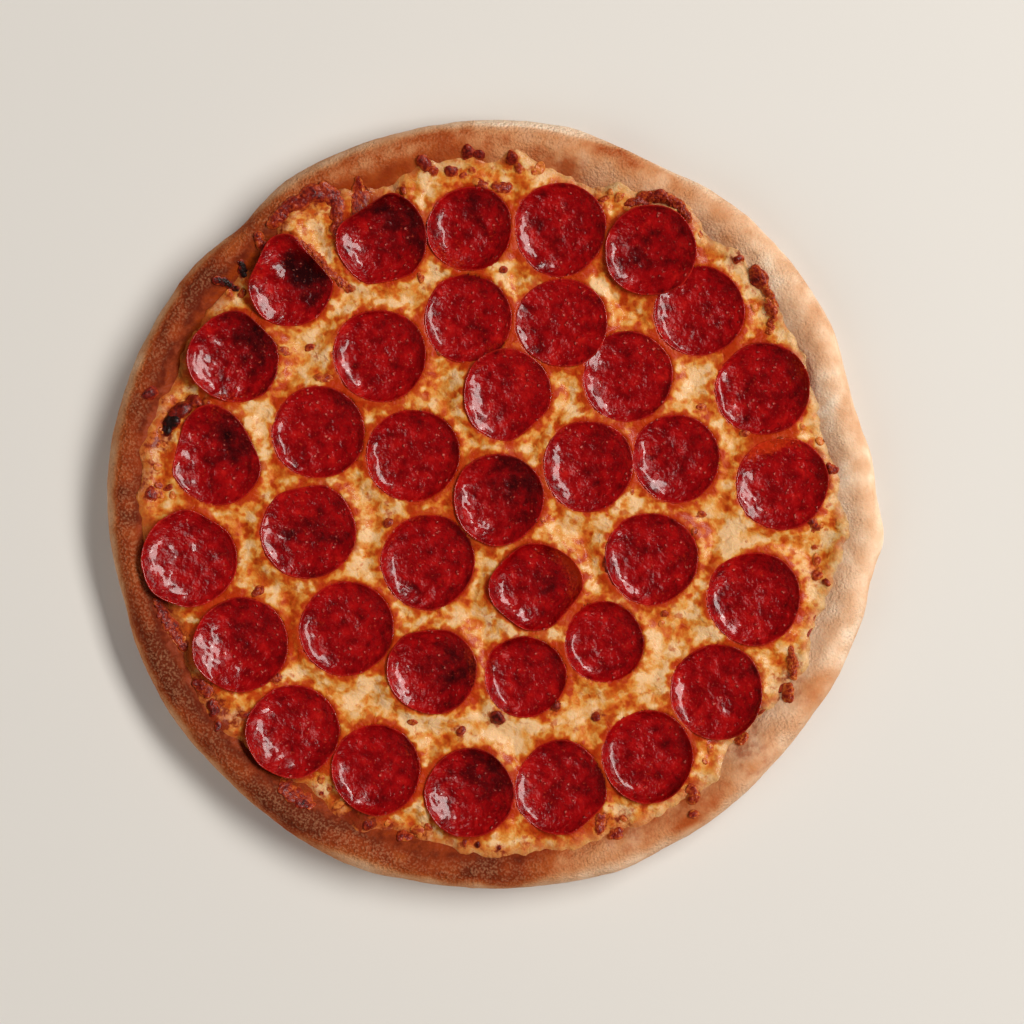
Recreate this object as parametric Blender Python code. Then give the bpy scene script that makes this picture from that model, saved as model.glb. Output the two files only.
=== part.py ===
"""A whole baked pepperoni pizza, fourteen inches across, hand stretched and uncut.

It is built as it is made: a round of dough with a raised rim, a skin of tomato sauce, a layer of
melted cheese browned along its edge, and sliced pepperoni that cups as it bakes and drapes over
whatever it lies on. Each piece is one closed solid. Metres, +Z up. The origin is the middle of the
flat underside, and +Y is the far side of the pizza.
"""

import math
import random

import bmesh
import bpy
from mathutils import Vector
from mathutils.bvhtree import BVHTree

MM = 0.001

# Dough: the outer edge is the mean of the hand-stretched outline.
DOUGH_RADIUS = 178 * MM
DOUGH_WIDEST_HEIGHT = 9 * MM
DOUGH_FOOT_RADIUS = 166 * MM
DOUGH_BASE_THICKNESS = 8 * MM
RIM_CROWN_RADIUS = 168.5 * MM
RIM_CROWN_HEIGHT = 21 * MM
WELL_RADIUS = 143 * MM

# Layers, each a touch above the one below.
LAYER_GAP = 0.4 * MM
SAUCE_THICKNESS = 1.3 * MM
SAUCE_EDGE_THICKNESS = 0.7 * MM
SAUCE_MARGIN = 2.0 * MM
SAUCE_MARGIN_WANDER = 0.8 * MM
CHEESE_RADIUS = 160 * MM
CHEESE_THICKNESS = 3.0 * MM
CHEESE_EDGE_THICKNESS = 1.5 * MM
CHEESE_SWELL = 0.3 * MM

SLICE_THICKNESS = 1.8 * MM
SLICE_CLEARANCE = 0.6 * MM
LAYER_REACH = 3.0 * MM
LAP_REACH = 6.5 * MM
SLICE_UNEVENNESS = 0.009
SLICE_FLAT_SHARE = 0.6

# How finely things are divided, and the angle between faces above which an edge stays sharp.
LAYER_STEPS = 72
SLICE_STEPS = 18
RIM_STEPS = 3
SLOPE_STEPS = 6
LAYER_SLOPE_STEPS = 4
CHEESE_WELL_STEPS = 9
SHARP_DEGREES = 50
FEELERS = 8

ABOVE_ALL = 1.0
DOWN = Vector((0.0, 0.0, -1.0))

# The long waves that cross in the melted cheese: length in millimetres, direction and start in degrees.
CHEESE_WAVES = [
    (52, 20, 25),
    (61, 95, 120),
    (74, 150, 230),
]

# Where the hand-stretched edge stands in or out: angle, millimetres, half-width in degrees.
EDGE_DENTS = [
    (16, -4.4, 9),
    (65, -3.2, 9),
    (132.5, -4.2, 5),
    (172, 0.9, 12),
    (195, -1.8, 6),
    (224, -1.2, 8),
    (247, 1.4, 7),
    (289, 1.3, 5),
    (320, -1.3, 9),
    (344, 0.9, 8),
    (355.5, 3.4, 3.5),
]

# Where the rim rises or dips: angle, millimetres, half-width in degrees.
RIM_SWELLS = [
    (28, 1.2, 16),
    (75, -1.0, 12),
    (112, 1.5, 13),
    (150, -0.8, 12),
    (182, 1.0, 15),
    (236, 1.3, 14),
    (275, -0.7, 13),
    (318, 1.4, 14),
    (352, -0.8, 9),
]

# Where the cheese runs up the rim or falls short of it: angle, millimetres, half-width in degrees.
CHEESE_LOBES = [
    (12, -1.5, 8),
    (36, 1.2, 6),
    (56, 2.2, 6),
    (76, -6.0, 6),
    (93, 2.0, 8),
    (108, -3.5, 4),
    (124, 4.2, 5),
    (143, -2.5, 6),
    (158, -2.2, 5),
    (172, 2.4, 6),
    (190, 1.6, 6),
    (206, -2.0, 7),
    (218, 2.2, 5),
    (236, -1.8, 7),
    (255, -2.6, 7),
    (284, 1.4, 6),
    (303, 2.8, 7),
    (318, -1.6, 5),
    (333, 3.0, 6),
    (350, -0.6, 6),
]

# Browned knobs of cheese: angle, ring and half-width in millimetres.
CHEESE_KNOBS = [
    (35, 157.0, 3.4),
    (44, 157.0, 3.2),
    (57, 157.5, 3.6),
    (87, 157.0, 3.4),
    (95.5, 157.5, 3.0),
    (103, 154.5, 3.0),
    (122, 159.0, 4.0),
    (160.5, 153.0, 4.2),
    (176, 158.0, 3.0),
    (207.5, 155.5, 3.2),
    (217, 158.0, 3.4),
    (248, 154.5, 3.2),
    (290, 157.5, 3.4),
    (307, 159.0, 3.4),
    (332, 158.0, 4.2),
    (348, 156.0, 3.0),
    (296, 107.5, 3.2),
    (271, 98.5, 3.6),
]
KNOB_HEIGHT = 2.0 * MM
KNOB_DEPTH = 0.9 * MM


class Slice:
    """One pepperoni slice: its middle, radius and cup depth in millimetres, and what is odd about it."""

    def __init__(self, x, y, radius, cup, pinch_angle=None, pinch=0.0, laps=None):
        self.x = x * MM
        self.y = y * MM
        self.radius = radius * MM
        self.cup = cup * MM
        self.pinch_angle = pinch_angle
        self.pinch = pinch * MM
        self.laps = laps


# The slices as they lie. Pinched ones have a point of their edge drawn up and out, and one that laps
# another is laid after it.
SLICES = {
    "outer_01": Slice(-51.0, 121.2, 20.6, 3.0, 75, 1.5),
    "outer_02": Slice(-10.6, 126.8, 19.2, 2.6),
    "outer_03": Slice(31.0, 126.9, 21.0, 1.6),
    "outer_05": Slice(94.8, 89.0, 20.6, 0.8),
    "outer_04": Slice(72.0, 116.4, 20.6, 3.4, laps="outer_05"),
    "outer_06": Slice(123.8, 53.0, 21.0, 1.4),
    "outer_07": Slice(133.0, 9.8, 20.8, 1.6),
    "outer_08": Slice(119.9, -42.6, 21.3, 2.4),
    "outer_09": Slice(102.8, -85.7, 21.2, 1.6),
    "outer_10": Slice(71.2, -115.4, 20.7, 2.6),
    "outer_11": Slice(31.2, -130.6, 20.7, 1.4, 85, 1.6),
    "outer_12": Slice(-10.9, -132.4, 20.2, 3.4),
    "outer_13": Slice(-53.4, -121.6, 20.2, 2.2),
    "outer_14": Slice(-91.8, -104.0, 20.8, 2.2),
    "outer_15": Slice(-115.8, -63.9, 21.6, 2.4),
    "outer_16": Slice(-139.2, -24.5, 21.6, 1.6),
    "outer_17": Slice(-127.3, 20.6, 20.4, 1.6, 100, 3.0),
    "outer_18": Slice(-118.8, 67.4, 20.8, 2.8),
    "outer_19": Slice(-93.2, 101.6, 19.4, 2.0, 80, 3.0),
    "middle_01": Slice(-51.9, 68.5, 21.3, 2.0),
    "middle_02": Slice(-11.4, 85.4, 20.2, 0.9),
    "middle_03": Slice(61.6, 59.3, 20.8, 0.9),
    "middle_04": Slice(31.9, 83.6, 20.6, 1.4, laps="middle_03"),
    "middle_05": Slice(84.3, 21.4, 20.0, 1.2),
    "middle_06": Slice(73.2, -24.5, 21.3, 1.6),
    "middle_07": Slice(51.4, -63.0, 18.1, 2.0),
    "middle_08": Slice(15.0, -78.8, 18.5, 2.2),
    "middle_09": Slice(-27.8, -75.9, 20.2, 3.0),
    "middle_10": Slice(-67.1, -56.9, 21.3, 2.0),
    "middle_11": Slice(-84.9, -12.0, 21.9, 1.8),
    "middle_12": Slice(-80.1, 32.9, 20.8, 1.8),
    "inner_01": Slice(6.6, 50.6, 20.4, 2.2, laps="middle_02"),
    "inner_02": Slice(43.6, 17.8, 20.6, 2.2),
    "inner_03": Slice(18.7, -37.6, 20.2, 3.4, 20, 1.5),
    "inner_04": Slice(-30.0, -26.2, 21.4, 1.4),
    "inner_05": Slice(-36.6, 22.7, 21.0, 2.0),
    "inner_06": Slice(2.4, 2.8, 20.8, 3.0),
}
PINCH_WIDTH = 38
PINCH_STRETCH = 0.10


def clear_scene():
    """Takes every object that the file opened with out of it."""
    for obj in list(bpy.data.objects):
        bpy.data.objects.remove(obj, do_unlink=True)


def plain_material(name, colour, roughness):
    """A Principled material with one colour and no metal in it."""
    material = bpy.data.materials.new(name)
    material.use_nodes = True
    shader = material.node_tree.nodes["Principled BSDF"]
    shader.inputs["Base Color"].default_value = (*colour, 1.0)
    shader.inputs["Roughness"].default_value = roughness
    shader.inputs["Metallic"].default_value = 0.0
    return material


def smooth_step(share):
    """The usual ease from 0 to 1, flat at both ends."""
    share = min(max(share, 0.0), 1.0)
    return share * share * (3.0 - 2.0 * share)


def bumps_at(angle, bumps):
    """The sum of round bumps along the rim at an angle in radians, in metres."""
    total = 0.0
    for centre, height, half_width in bumps:
        away = (math.degrees(angle) - centre + 180.0) % 360.0 - 180.0
        total += height * MM * math.exp(-((away / half_width) ** 2))
    return total


def stretched(ring, angle):
    """A ring of the round pizza carried to where the hand-stretched one has it."""
    share = ring / DOUGH_RADIUS
    return ring + bumps_at(angle, EDGE_DENTS) * share * share


def cheese_edge(angle):
    """The ring at which the cheese ends."""
    return CHEESE_RADIUS + bumps_at(angle, CHEESE_LOBES)


def crown_height(angle):
    """The height of the rim's crown, which rises and dips along the rim."""
    return RIM_CROWN_HEIGHT + bumps_at(angle, RIM_SWELLS)


def dough_top(ring, crown=RIM_CROWN_HEIGHT):
    """The top of the dough inside the crown: a flat well that eases up to the crown."""
    climb = smooth_step((ring - WELL_RADIUS) / (RIM_CROWN_RADIUS - WELL_RADIUS))
    return DOUGH_BASE_THICKNESS + (crown - DOUGH_BASE_THICKNESS) * climb


def sauce_top(ring, angle):
    """The top of the sauce, which thins towards its edge."""
    thin = smooth_step((ring - WELL_RADIUS) / (CHEESE_RADIUS - WELL_RADIUS))
    thickness = SAUCE_THICKNESS + (SAUCE_EDGE_THICKNESS - SAUCE_THICKNESS) * thin
    return dough_top(ring, crown_height(angle)) + LAYER_GAP + thickness


def cheese_swell(ring, angle):
    """The broad rise and fall of melted cheese: the sum of the long waves at a point."""
    swell = 0.0
    for length, direction, start in CHEESE_WAVES:
        along = ring * math.cos(angle - math.radians(direction))
        swell += CHEESE_SWELL * math.sin(2.0 * math.pi * along / (length * MM) + math.radians(start))
    return swell


def cheese_top(ring, angle):
    """The top of the cheese: its thickness, thinner at its edge, and its swell."""
    thin = smooth_step((ring - WELL_RADIUS) / (CHEESE_RADIUS - WELL_RADIUS))
    thickness = CHEESE_THICKNESS + (CHEESE_EDGE_THICKNESS - CHEESE_THICKNESS) * thin
    return sauce_top(ring, angle) + LAYER_GAP + thickness + cheese_swell(ring, angle)


def turned_mesh(profile, steps):
    """Spins a profile of (ring, height) points, whose ends are on the axis, into a closed mesh."""
    mesh = bmesh.new()
    points = [mesh.verts.new((ring, 0.0, height)) for ring, height in profile]
    edges = [mesh.edges.new(pair) for pair in zip(points, points[1:])]
    bmesh.ops.spin(
        mesh,
        geom=points + edges,
        cent=(0.0, 0.0, 0.0),
        axis=(0.0, 0.0, 1.0),
        angle=2.0 * math.pi,
        steps=steps,
    )
    bmesh.ops.remove_doubles(mesh, verts=mesh.verts, dist=0.01 * MM)
    bmesh.ops.recalc_face_normals(mesh, faces=mesh.faces)
    return mesh


def finished_object(name, mesh, material):
    """Turns a bmesh into a named object, its faces split into triangles and shaded smooth."""
    bmesh.ops.triangulate(mesh, faces=mesh.faces)
    data = bpy.data.meshes.new(name)
    mesh.to_mesh(data)
    mesh.free()
    data.materials.append(material)
    data.shade_smooth()
    data.set_sharp_from_angle(angle=math.radians(SHARP_DEGREES))
    obj = bpy.data.objects.new(name, data)
    bpy.context.scene.collection.objects.link(obj)
    return obj


def layer(name, rings, top, bottom, carried, material):
    """A layer of the pizza on shared rings.

    top and bottom give a height for (ring, angle), and carried(ring, angle) gives the ring at which a
    point really lies, such as along a ragged edge.
    """
    profile = [(ring, 0.0) for ring in rings] + [(ring, 1.0) for ring in reversed(rings)]
    mesh = turned_mesh(profile, LAYER_STEPS)
    for point in mesh.verts:
        angle = math.atan2(point.co.y, point.co.x)
        ring = carried(math.hypot(point.co.x, point.co.y), angle)
        height = top(ring, angle) if point.co.z > 0.5 else bottom(ring, angle)
        reach = stretched(ring, angle)
        point.co = Vector((reach * math.cos(angle), reach * math.sin(angle), height))
    return finished_object(name, mesh, material)


def dough_profile():
    """The dough's section, from the middle of its underside round the rim to the middle of its well."""
    profile = [(0.0, 0.0), (DOUGH_FOOT_RADIUS, 0.0)]
    for step in range(1, RIM_STEPS + 1):
        turn = math.pi / 2.0 * step / RIM_STEPS
        ring = DOUGH_FOOT_RADIUS + (DOUGH_RADIUS - DOUGH_FOOT_RADIUS) * math.sin(turn)
        profile.append((ring, DOUGH_WIDEST_HEIGHT * (1.0 - math.cos(turn))))
    for step in range(1, RIM_STEPS + 1):
        turn = math.pi / 2.0 * step / RIM_STEPS
        ring = RIM_CROWN_RADIUS + (DOUGH_RADIUS - RIM_CROWN_RADIUS) * math.cos(turn)
        rise = (RIM_CROWN_HEIGHT - DOUGH_WIDEST_HEIGHT) * math.sin(turn)
        profile.append((ring, DOUGH_WIDEST_HEIGHT + rise))
    for step in range(1, SLOPE_STEPS + 1):
        ring = RIM_CROWN_RADIUS + (WELL_RADIUS - RIM_CROWN_RADIUS) * step / SLOPE_STEPS
        profile.append((ring, dough_top(ring)))
    profile.append((0.0, DOUGH_BASE_THICKNESS))
    return profile


def make_dough(material):
    """The round of dough: a turned section, stretched by hand and with a rim that rises and dips."""
    mesh = turned_mesh(dough_profile(), LAYER_STEPS)
    for point in mesh.verts:
        angle = math.atan2(point.co.y, point.co.x)
        reach = stretched(math.hypot(point.co.x, point.co.y), angle)
        height = point.co.z
        share = (height - DOUGH_BASE_THICKNESS) / (RIM_CROWN_HEIGHT - DOUGH_BASE_THICKNESS)
        height += (crown_height(angle) - RIM_CROWN_HEIGHT) * max(share, 0.0)
        point.co = Vector((reach * math.cos(angle), reach * math.sin(angle), height))
    return finished_object("dough", mesh, material)


def slope_rings(outer):
    """The rings that the sauce and the cheese share on the slope, from the middle outwards."""
    steps = range(LAYER_SLOPE_STEPS + 1)
    return [0.0] + [WELL_RADIUS + (outer - WELL_RADIUS) * step / LAYER_SLOPE_STEPS for step in steps]


def carried_to_edge(edge, outer):
    """Moves rings near the outer one along with an edge(angle) that wanders, and leaves the middle."""

    def carried(ring, angle):
        share = max(ring - WELL_RADIUS, 0.0) / (outer - WELL_RADIUS)
        return ring + (edge(angle) - outer) * share

    return carried


def make_sauce(material):
    """The skin of tomato sauce, whose dried edge shows just past the cheese."""
    outer = CHEESE_RADIUS + SAUCE_MARGIN

    def edge(angle):
        return cheese_edge(angle) + SAUCE_MARGIN + SAUCE_MARGIN_WANDER * math.sin(7.0 * angle)

    def bottom(ring, angle):
        return dough_top(ring, crown_height(angle)) + LAYER_GAP

    rings = slope_rings(outer)
    return layer("tomato_sauce", rings, sauce_top, bottom, carried_to_edge(edge, outer), material)


def cheese_rings():
    """The cheese's rings: the well is split too, so that its swell shows."""
    inner = [WELL_RADIUS * step / CHEESE_WELL_STEPS for step in range(CHEESE_WELL_STEPS)]
    return inner + slope_rings(CHEESE_RADIUS)[1:]


def cheese_knob(name, angle_degrees, ring_mm, half_width_mm):
    """A browned knob of cheese: a flattened ball half sunk in the layer, and leaning with its slope."""
    half_width = half_width_mm * MM
    middle = ring_mm * MM
    mesh = bmesh.new()
    bmesh.ops.create_icosphere(mesh, subdivisions=2, radius=1.0)
    for point in mesh.verts:
        ring = middle + point.co.x * half_width
        angle = math.radians(angle_degrees) + point.co.y * half_width / middle
        rise = point.co.z * (KNOB_HEIGHT if point.co.z > 0.0 else KNOB_DEPTH)
        reach = stretched(ring, angle)
        height = cheese_top(ring, angle) + rise
        point.co = Vector((reach * math.cos(angle), reach * math.sin(angle), height))
    data = bpy.data.meshes.new(name)
    mesh.to_mesh(data)
    mesh.free()
    return bpy.data.objects.new(name, data)


def make_cheese(material):
    """The melted cheese, with its browned knobs fused on by one union."""

    def bottom(ring, angle):
        return sauce_top(ring, angle) + LAYER_GAP

    carried = carried_to_edge(cheese_edge, CHEESE_RADIUS)
    cheese = layer("melted_cheese", cheese_rings(), cheese_top, bottom, carried, material)
    knobs = bpy.data.collections.new("cheese_knobs")
    bpy.context.scene.collection.children.link(knobs)
    for number, knob in enumerate(CHEESE_KNOBS, 1):
        knobs.objects.link(cheese_knob(f"cheese_knob_{number:02d}", *knob))
    union = cheese.modifiers.new("knobs", "BOOLEAN")
    union.operation = "UNION"
    union.operand_type = "COLLECTION"
    union.collection = knobs
    with bpy.context.temp_override(object=cheese, active_object=cheese):
        bpy.ops.object.modifier_apply(modifier=union.name)
    for knob in list(knobs.objects):
        bpy.data.objects.remove(knob, do_unlink=True)
    bpy.data.collections.remove(knobs)
    return cheese


def tree_of(obj):
    """A ray tree of an object's mesh, whose points are already in place."""
    points = [point.co for point in obj.data.vertices]
    return BVHTree.FromPolygons(points, [tuple(face.vertices) for face in obj.data.polygons])


def height_under(trees, x, y):
    """The highest surface of the given trees under a point, or None."""
    above = Vector((x, y, ABOVE_ALL))
    hits = [tree.ray_cast(above, DOWN)[0] for tree in trees]
    heights = [hit.z for hit in hits if hit is not None]
    return max(heights) if heights else None


def support_under(layers, lapped, x, y):
    """What a slice lies on at a point: the layers there, and the slice that it laps, felt a little early."""
    heights = [height_under(layers, x, y), height_under(lapped, x, y)]
    for step in range(FEELERS):
        east = math.cos(2.0 * math.pi * step / FEELERS)
        north = math.sin(2.0 * math.pi * step / FEELERS)
        heights.append(height_under(layers, x + LAYER_REACH * east, y + LAYER_REACH * north))
        heights.append(height_under(lapped, x + LAP_REACH * east, y + LAP_REACH * north))
    return max(height for height in heights if height is not None) + SLICE_CLEARANCE


def resting_plane(places, heights):
    """The level and slopes of the plane that lies closest to the heights under a slice."""
    count = len(places)
    level = sum(heights) / count
    spread = sum(x * x for x, _ in places)
    slope_x = sum(x * (height - level) for (x, _), height in zip(places, heights)) / spread
    spread = sum(y * y for _, y in places)
    slope_y = sum(y * (height - level) for (_, y), height in zip(places, heights)) / spread
    return level, slope_x, slope_y


def slice_outline(piece, turn, wobble):
    """The slice's radius at an angle: slightly out of round, and drawn out at a pinch."""
    waves = math.cos(2.0 * turn + wobble) + math.cos(3.0 * turn - 2.0 * wobble)
    return piece.radius * (1.0 + SLICE_UNEVENNESS * waves + PINCH_STRETCH * pinch_share(piece, turn))


def pinch_share(piece, turn):
    """How much of the slice's pinch is felt at an angle, from 0 to 1."""
    if piece.pinch_angle is None:
        return 0.0
    away = (math.degrees(turn) - piece.pinch_angle + 180.0) % 360.0 - 180.0
    return math.exp(-((away / PINCH_WIDTH) ** 2))


def make_slice(name, piece, layers, lapped, wobble, material):
    """A slice of pepperoni, turned flat, then cupped and laid over what is under it."""
    flat = SLICE_FLAT_SHARE
    profile = [(0.0, 0.0), (flat, 0.0), (1.0, 0.0), (1.0, 1.0), (flat, 1.0), (0.0, 1.0)]
    mesh = turned_mesh(profile, SLICE_STEPS)
    shares = [math.hypot(point.co.x, point.co.y) for point in mesh.verts]
    turns = [math.atan2(point.co.y, point.co.x) for point in mesh.verts]
    places = []
    for share, turn in zip(shares, turns):
        radius = share * slice_outline(piece, turn, wobble)
        places.append((radius * math.cos(turn), radius * math.sin(turn)))
    held = [support_under(layers, lapped, piece.x + x, piece.y + y) for x, y in places]
    level, slope_x, slope_y = resting_plane(places, held)
    for point, share, turn, (x, y), support in zip(mesh.verts, shares, turns, places, held):
        cup = piece.cup * share**3 + piece.pinch * pinch_share(piece, turn) * share**2
        lowest = max(level + slope_x * x + slope_y * y + cup, support)
        thickness = SLICE_THICKNESS if point.co.z > 0.5 else 0.0
        point.co = Vector((piece.x + x, piece.y + y, lowest + thickness))
    return finished_object(name, mesh, material)


def make_pepperoni(layers, material):
    """Lays the slices one after the other, each on the layers and on the slice that it laps."""
    wobbles = random.Random(14)
    laid = {}
    for name, piece in SLICES.items():
        lapped = [laid[piece.laps]] if piece.laps else []
        wobble = wobbles.uniform(0.0, 2.0 * math.pi)
        made = make_slice(f"pepperoni_{name}", piece, layers, lapped, wobble, material)
        laid[name] = tree_of(made)


def main():
    clear_scene()
    dough = make_dough(plain_material("baked_dough", (0.62, 0.36, 0.17), 0.75))
    sauce = make_sauce(plain_material("tomato_sauce", (0.35, 0.05, 0.015), 0.45))
    cheese = make_cheese(plain_material("melted_cheese", (0.80, 0.50, 0.16), 0.35))
    layers = [tree_of(dough), tree_of(sauce), tree_of(cheese)]
    make_pepperoni(layers, plain_material("pepperoni", (0.34, 0.012, 0.010), 0.28))


main()
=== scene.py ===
import math

import bpy
import numpy as np
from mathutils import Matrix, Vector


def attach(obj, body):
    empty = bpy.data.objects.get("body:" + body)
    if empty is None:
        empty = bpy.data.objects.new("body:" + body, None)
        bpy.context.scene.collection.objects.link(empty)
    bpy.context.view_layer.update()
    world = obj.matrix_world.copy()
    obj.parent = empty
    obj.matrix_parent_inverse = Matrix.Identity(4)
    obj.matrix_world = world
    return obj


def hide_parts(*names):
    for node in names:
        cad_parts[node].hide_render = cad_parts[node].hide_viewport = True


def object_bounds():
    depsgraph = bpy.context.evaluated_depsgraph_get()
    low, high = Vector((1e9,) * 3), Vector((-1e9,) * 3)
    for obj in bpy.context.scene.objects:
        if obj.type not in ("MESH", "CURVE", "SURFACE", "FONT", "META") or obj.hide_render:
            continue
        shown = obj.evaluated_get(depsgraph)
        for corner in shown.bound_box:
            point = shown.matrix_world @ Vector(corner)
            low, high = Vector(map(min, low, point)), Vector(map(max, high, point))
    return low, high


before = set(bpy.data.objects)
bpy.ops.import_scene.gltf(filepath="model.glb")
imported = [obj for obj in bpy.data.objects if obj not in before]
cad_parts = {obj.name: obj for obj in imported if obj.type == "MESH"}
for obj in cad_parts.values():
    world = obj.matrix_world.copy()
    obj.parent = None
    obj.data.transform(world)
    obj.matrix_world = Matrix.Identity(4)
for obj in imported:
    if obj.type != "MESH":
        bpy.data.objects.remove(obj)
cad_low, cad_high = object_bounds()


# The dough: a round of wheat dough, stretched by hand on a floured table, proved and baked until its
# rim is tan and blistered. Its outline and crown are read from the solid, the section is carried round
# them, and swells, wrinkles, blisters and a folded lip are worked into the skin.
MM = 0.001
TURN = 2.0 * math.pi
SPOKES = 72

DOUGH_RADIUS = 178 * MM
FOOT_RADIUS = 166 * MM
WIDEST_HEIGHT = 9 * MM
CROWN_RADIUS = 168.5 * MM
CROWN_HEIGHT = 21 * MM
WELL_RADIUS = 143 * MM
WELL_HEIGHT = 8 * MM
SKIN_DEPTH = 0.45 * MM


def points_of(node):
    """The corner points of a solid of the frame, one row for each."""
    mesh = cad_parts[node].data
    points = np.zeros(len(mesh.vertices) * 3, np.float32)
    mesh.vertices.foreach_get("co", points)
    return points.reshape(-1, 3).astype(float)


def spoke_values(points, values, spokes, middle=(0.0, 0.0), pick=np.maximum):
    """The largest value, or with np.minimum the smallest, on each spoke of a turned solid."""
    angle = np.arctan2(points[:, 1] - middle[1], points[:, 0] - middle[0])
    spoke = np.round(angle / TURN * spokes).astype(int) % spokes
    found = np.full(spokes, -np.inf if pick is np.maximum else np.inf)
    pick.at(found, spoke, values)
    return found


def closed_curve(samples):
    """A smooth closed curve through evenly spaced samples: the sum of their Fourier series at an angle."""
    terms = np.fft.rfft(samples) / len(samples)

    def at(angle):
        total = np.full(np.shape(angle), terms[0].real)
        for order in range(1, len(samples) // 2):
            total += 2.0 * (terms[order] * np.exp(1j * order * angle)).real
        return total

    return at


def reach_curve(points):
    """How far a solid reaches from the pizza's middle, as a smooth closed curve."""
    return closed_curve(spoke_values(points, np.hypot(points[:, 0], points[:, 1]), SPOKES))


def ease(share):
    """Rises from 0 to 1 as the share does: three times its square less twice its cube, flat at both ends."""
    share = np.clip(share, 0.0, 1.0)
    return share * share * (3.0 - 2.0 * share)


def lumps(points, size, seed):
    """Smooth relief from -1 to 1: random numbers on a cubic lattice of that size, eased between corners."""
    table = np.random.default_rng(seed).uniform(-1.0, 1.0, 4096)
    place = points / size + 500.0
    cell = np.floor(place).astype(np.int64)
    part = place - cell
    part = part * part * (3.0 - 2.0 * part)
    total = 0.0
    for corner in np.ndindex(2, 2, 2):
        near = cell + np.array(corner)
        code = near[..., 0] * 73856093 ^ near[..., 1] * 19349663 ^ near[..., 2] * 83492791
        weight = np.where(np.array(corner) == 1, part, 1.0 - part).prod(axis=-1)
        total = total + table[code % 4096] * weight
    return total


def roughen(points, size, seed, layers):
    """Rough relief: lumps of one size, and of half that size at half the height, and so on."""
    total = 0.0
    for layer in range(layers):
        total = total + lumps(points, size / 2.0**layer, seed + layer) / 2.0**layer
    return total


def relief_of(points, rows):
    """The sum of rough reliefs, from rows of height, size in millimetres, seed and how many layers."""
    return sum(height * roughen(points, size * MM, seed, layers) for height, size, seed, layers in rows)


def round_middle(reach, angle, height):
    """Points at a reach, an angle and a height round the pizza's middle."""
    return np.stack([reach * np.cos(angle), reach * np.sin(angle), height + 0 * (reach + angle)], axis=-1)


def normals_of(grid):
    """The outward normals of a closed grid: the step round it crossed with the step along its section."""
    around = np.roll(grid, -1, axis=1) - np.roll(grid, 1, axis=1)
    along = np.gradient(grid, axis=0)
    normal = np.cross(around, along)
    return normal / np.linalg.norm(normal, axis=-1, keepdims=True)


def smooth_mesh(name, points, faces, values):
    """A smooth mesh with attributes for its material, each one number for every point."""
    mesh = bpy.data.meshes.new(name)
    mesh.from_pydata(points.tolist(), [], faces)
    for title, numbers in values.items():
        layer = mesh.attributes.new(title, "FLOAT", "POINT")
        layer.data.foreach_set("value", numbers.astype(np.float32))
    mesh.shade_smooth()
    return mesh


def closed_faces(rings, around):
    """The faces of a closed skin: quads between its rings, and fans to the two points after them."""
    index = np.arange(rings * around).reshape(rings, around)
    after = np.roll(index, -1, axis=1)
    quads = np.stack([index[:-1], after[:-1], after[1:], index[1:]], axis=-1).reshape(-1, 4)
    low_fan = np.stack([np.full(around, index.size), after[0], index[0]], axis=-1)
    high_fan = np.stack([index[-1], after[-1], np.full(around, index.size + 1)], axis=-1)
    return quads, np.concatenate([low_fan, high_fan])


def closed_mesh(name, grid, low, high, values):
    """A closed skin over the rings of a grid, with a point at each end that takes the mean of its ring."""
    quads, fans = closed_faces(*grid.shape[:2])
    points = np.vstack([grid.reshape(-1, 3), low, high])
    ends = {title: [numbers[0].mean(), numbers[-1].mean()] for title, numbers in values.items()}
    values = {title: np.append(numbers.ravel(), ends[title]) for title, numbers in values.items()}
    return smooth_mesh(name, points, quads.tolist() + fans.tolist(), values)


def piece(name, mesh, material, slot, *nodes):
    """Puts a mesh into the scene as a piece of the pizza that stands for the solids it is named for."""
    obj = bpy.data.objects.new(name, mesh)
    mesh.materials.append(material)
    bpy.context.scene.collection.objects.link(obj)
    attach(obj, "root")
    if nodes:
        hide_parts(*nodes)


def hump(points, x, y, across):
    """A round hump seen from above: the bell curve of the distance from a place, all in millimetres."""
    return np.exp(-((points[..., 0] / MM - x) ** 2 + (points[..., 1] / MM - y) ** 2) / across**2)


def spots_of(points, rows):
    """The sum of round humps, from rows of x, y and reach in millimetres, and strength."""
    return sum(strength * hump(points, x, y, across) for x, y, across, strength in rows)


def near_angle(angle, centre, half_width):
    """How near an angle in radians is to one in degrees: a bell curve with that half-width in degrees."""
    away = (np.degrees(angle) - centre + 180.0) % 360.0 - 180.0
    return np.exp(-((away / half_width) ** 2))


dough_points = points_of("dough")
outline = reach_curve(dough_points)
crown = closed_curve(spoke_values(dough_points, dough_points[:, 2], SPOKES))


def slope_height(ring):
    """The dough's height inside the crown: an eased climb from the well to the crown."""
    climb = ease((ring - WELL_RADIUS) / (CROWN_RADIUS - WELL_RADIUS))
    return WELL_HEIGHT + (CROWN_HEIGHT - WELL_HEIGHT) * climb


def stretched(ring, angle):
    """Carries a ring of a true round to where the hand-stretched one has it, more so further out."""
    return ring + (outline(angle) - DOUGH_RADIUS) * (ring / DOUGH_RADIUS) ** 2


def true_ring(reach, angle):
    """The ring of the true round that the stretching carries to this reach."""
    return reach - (outline(angle) - DOUGH_RADIUS) * (reach / DOUGH_RADIUS) ** 2


def raised(height, angle):
    """Carries a height of an even rim to where the crown that rises and dips has it."""
    share = np.maximum(height - WELL_HEIGHT, 0.0) / (CROWN_HEIGHT - WELL_HEIGHT)
    return height + (crown(angle) - CROWN_HEIGHT) * share


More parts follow.
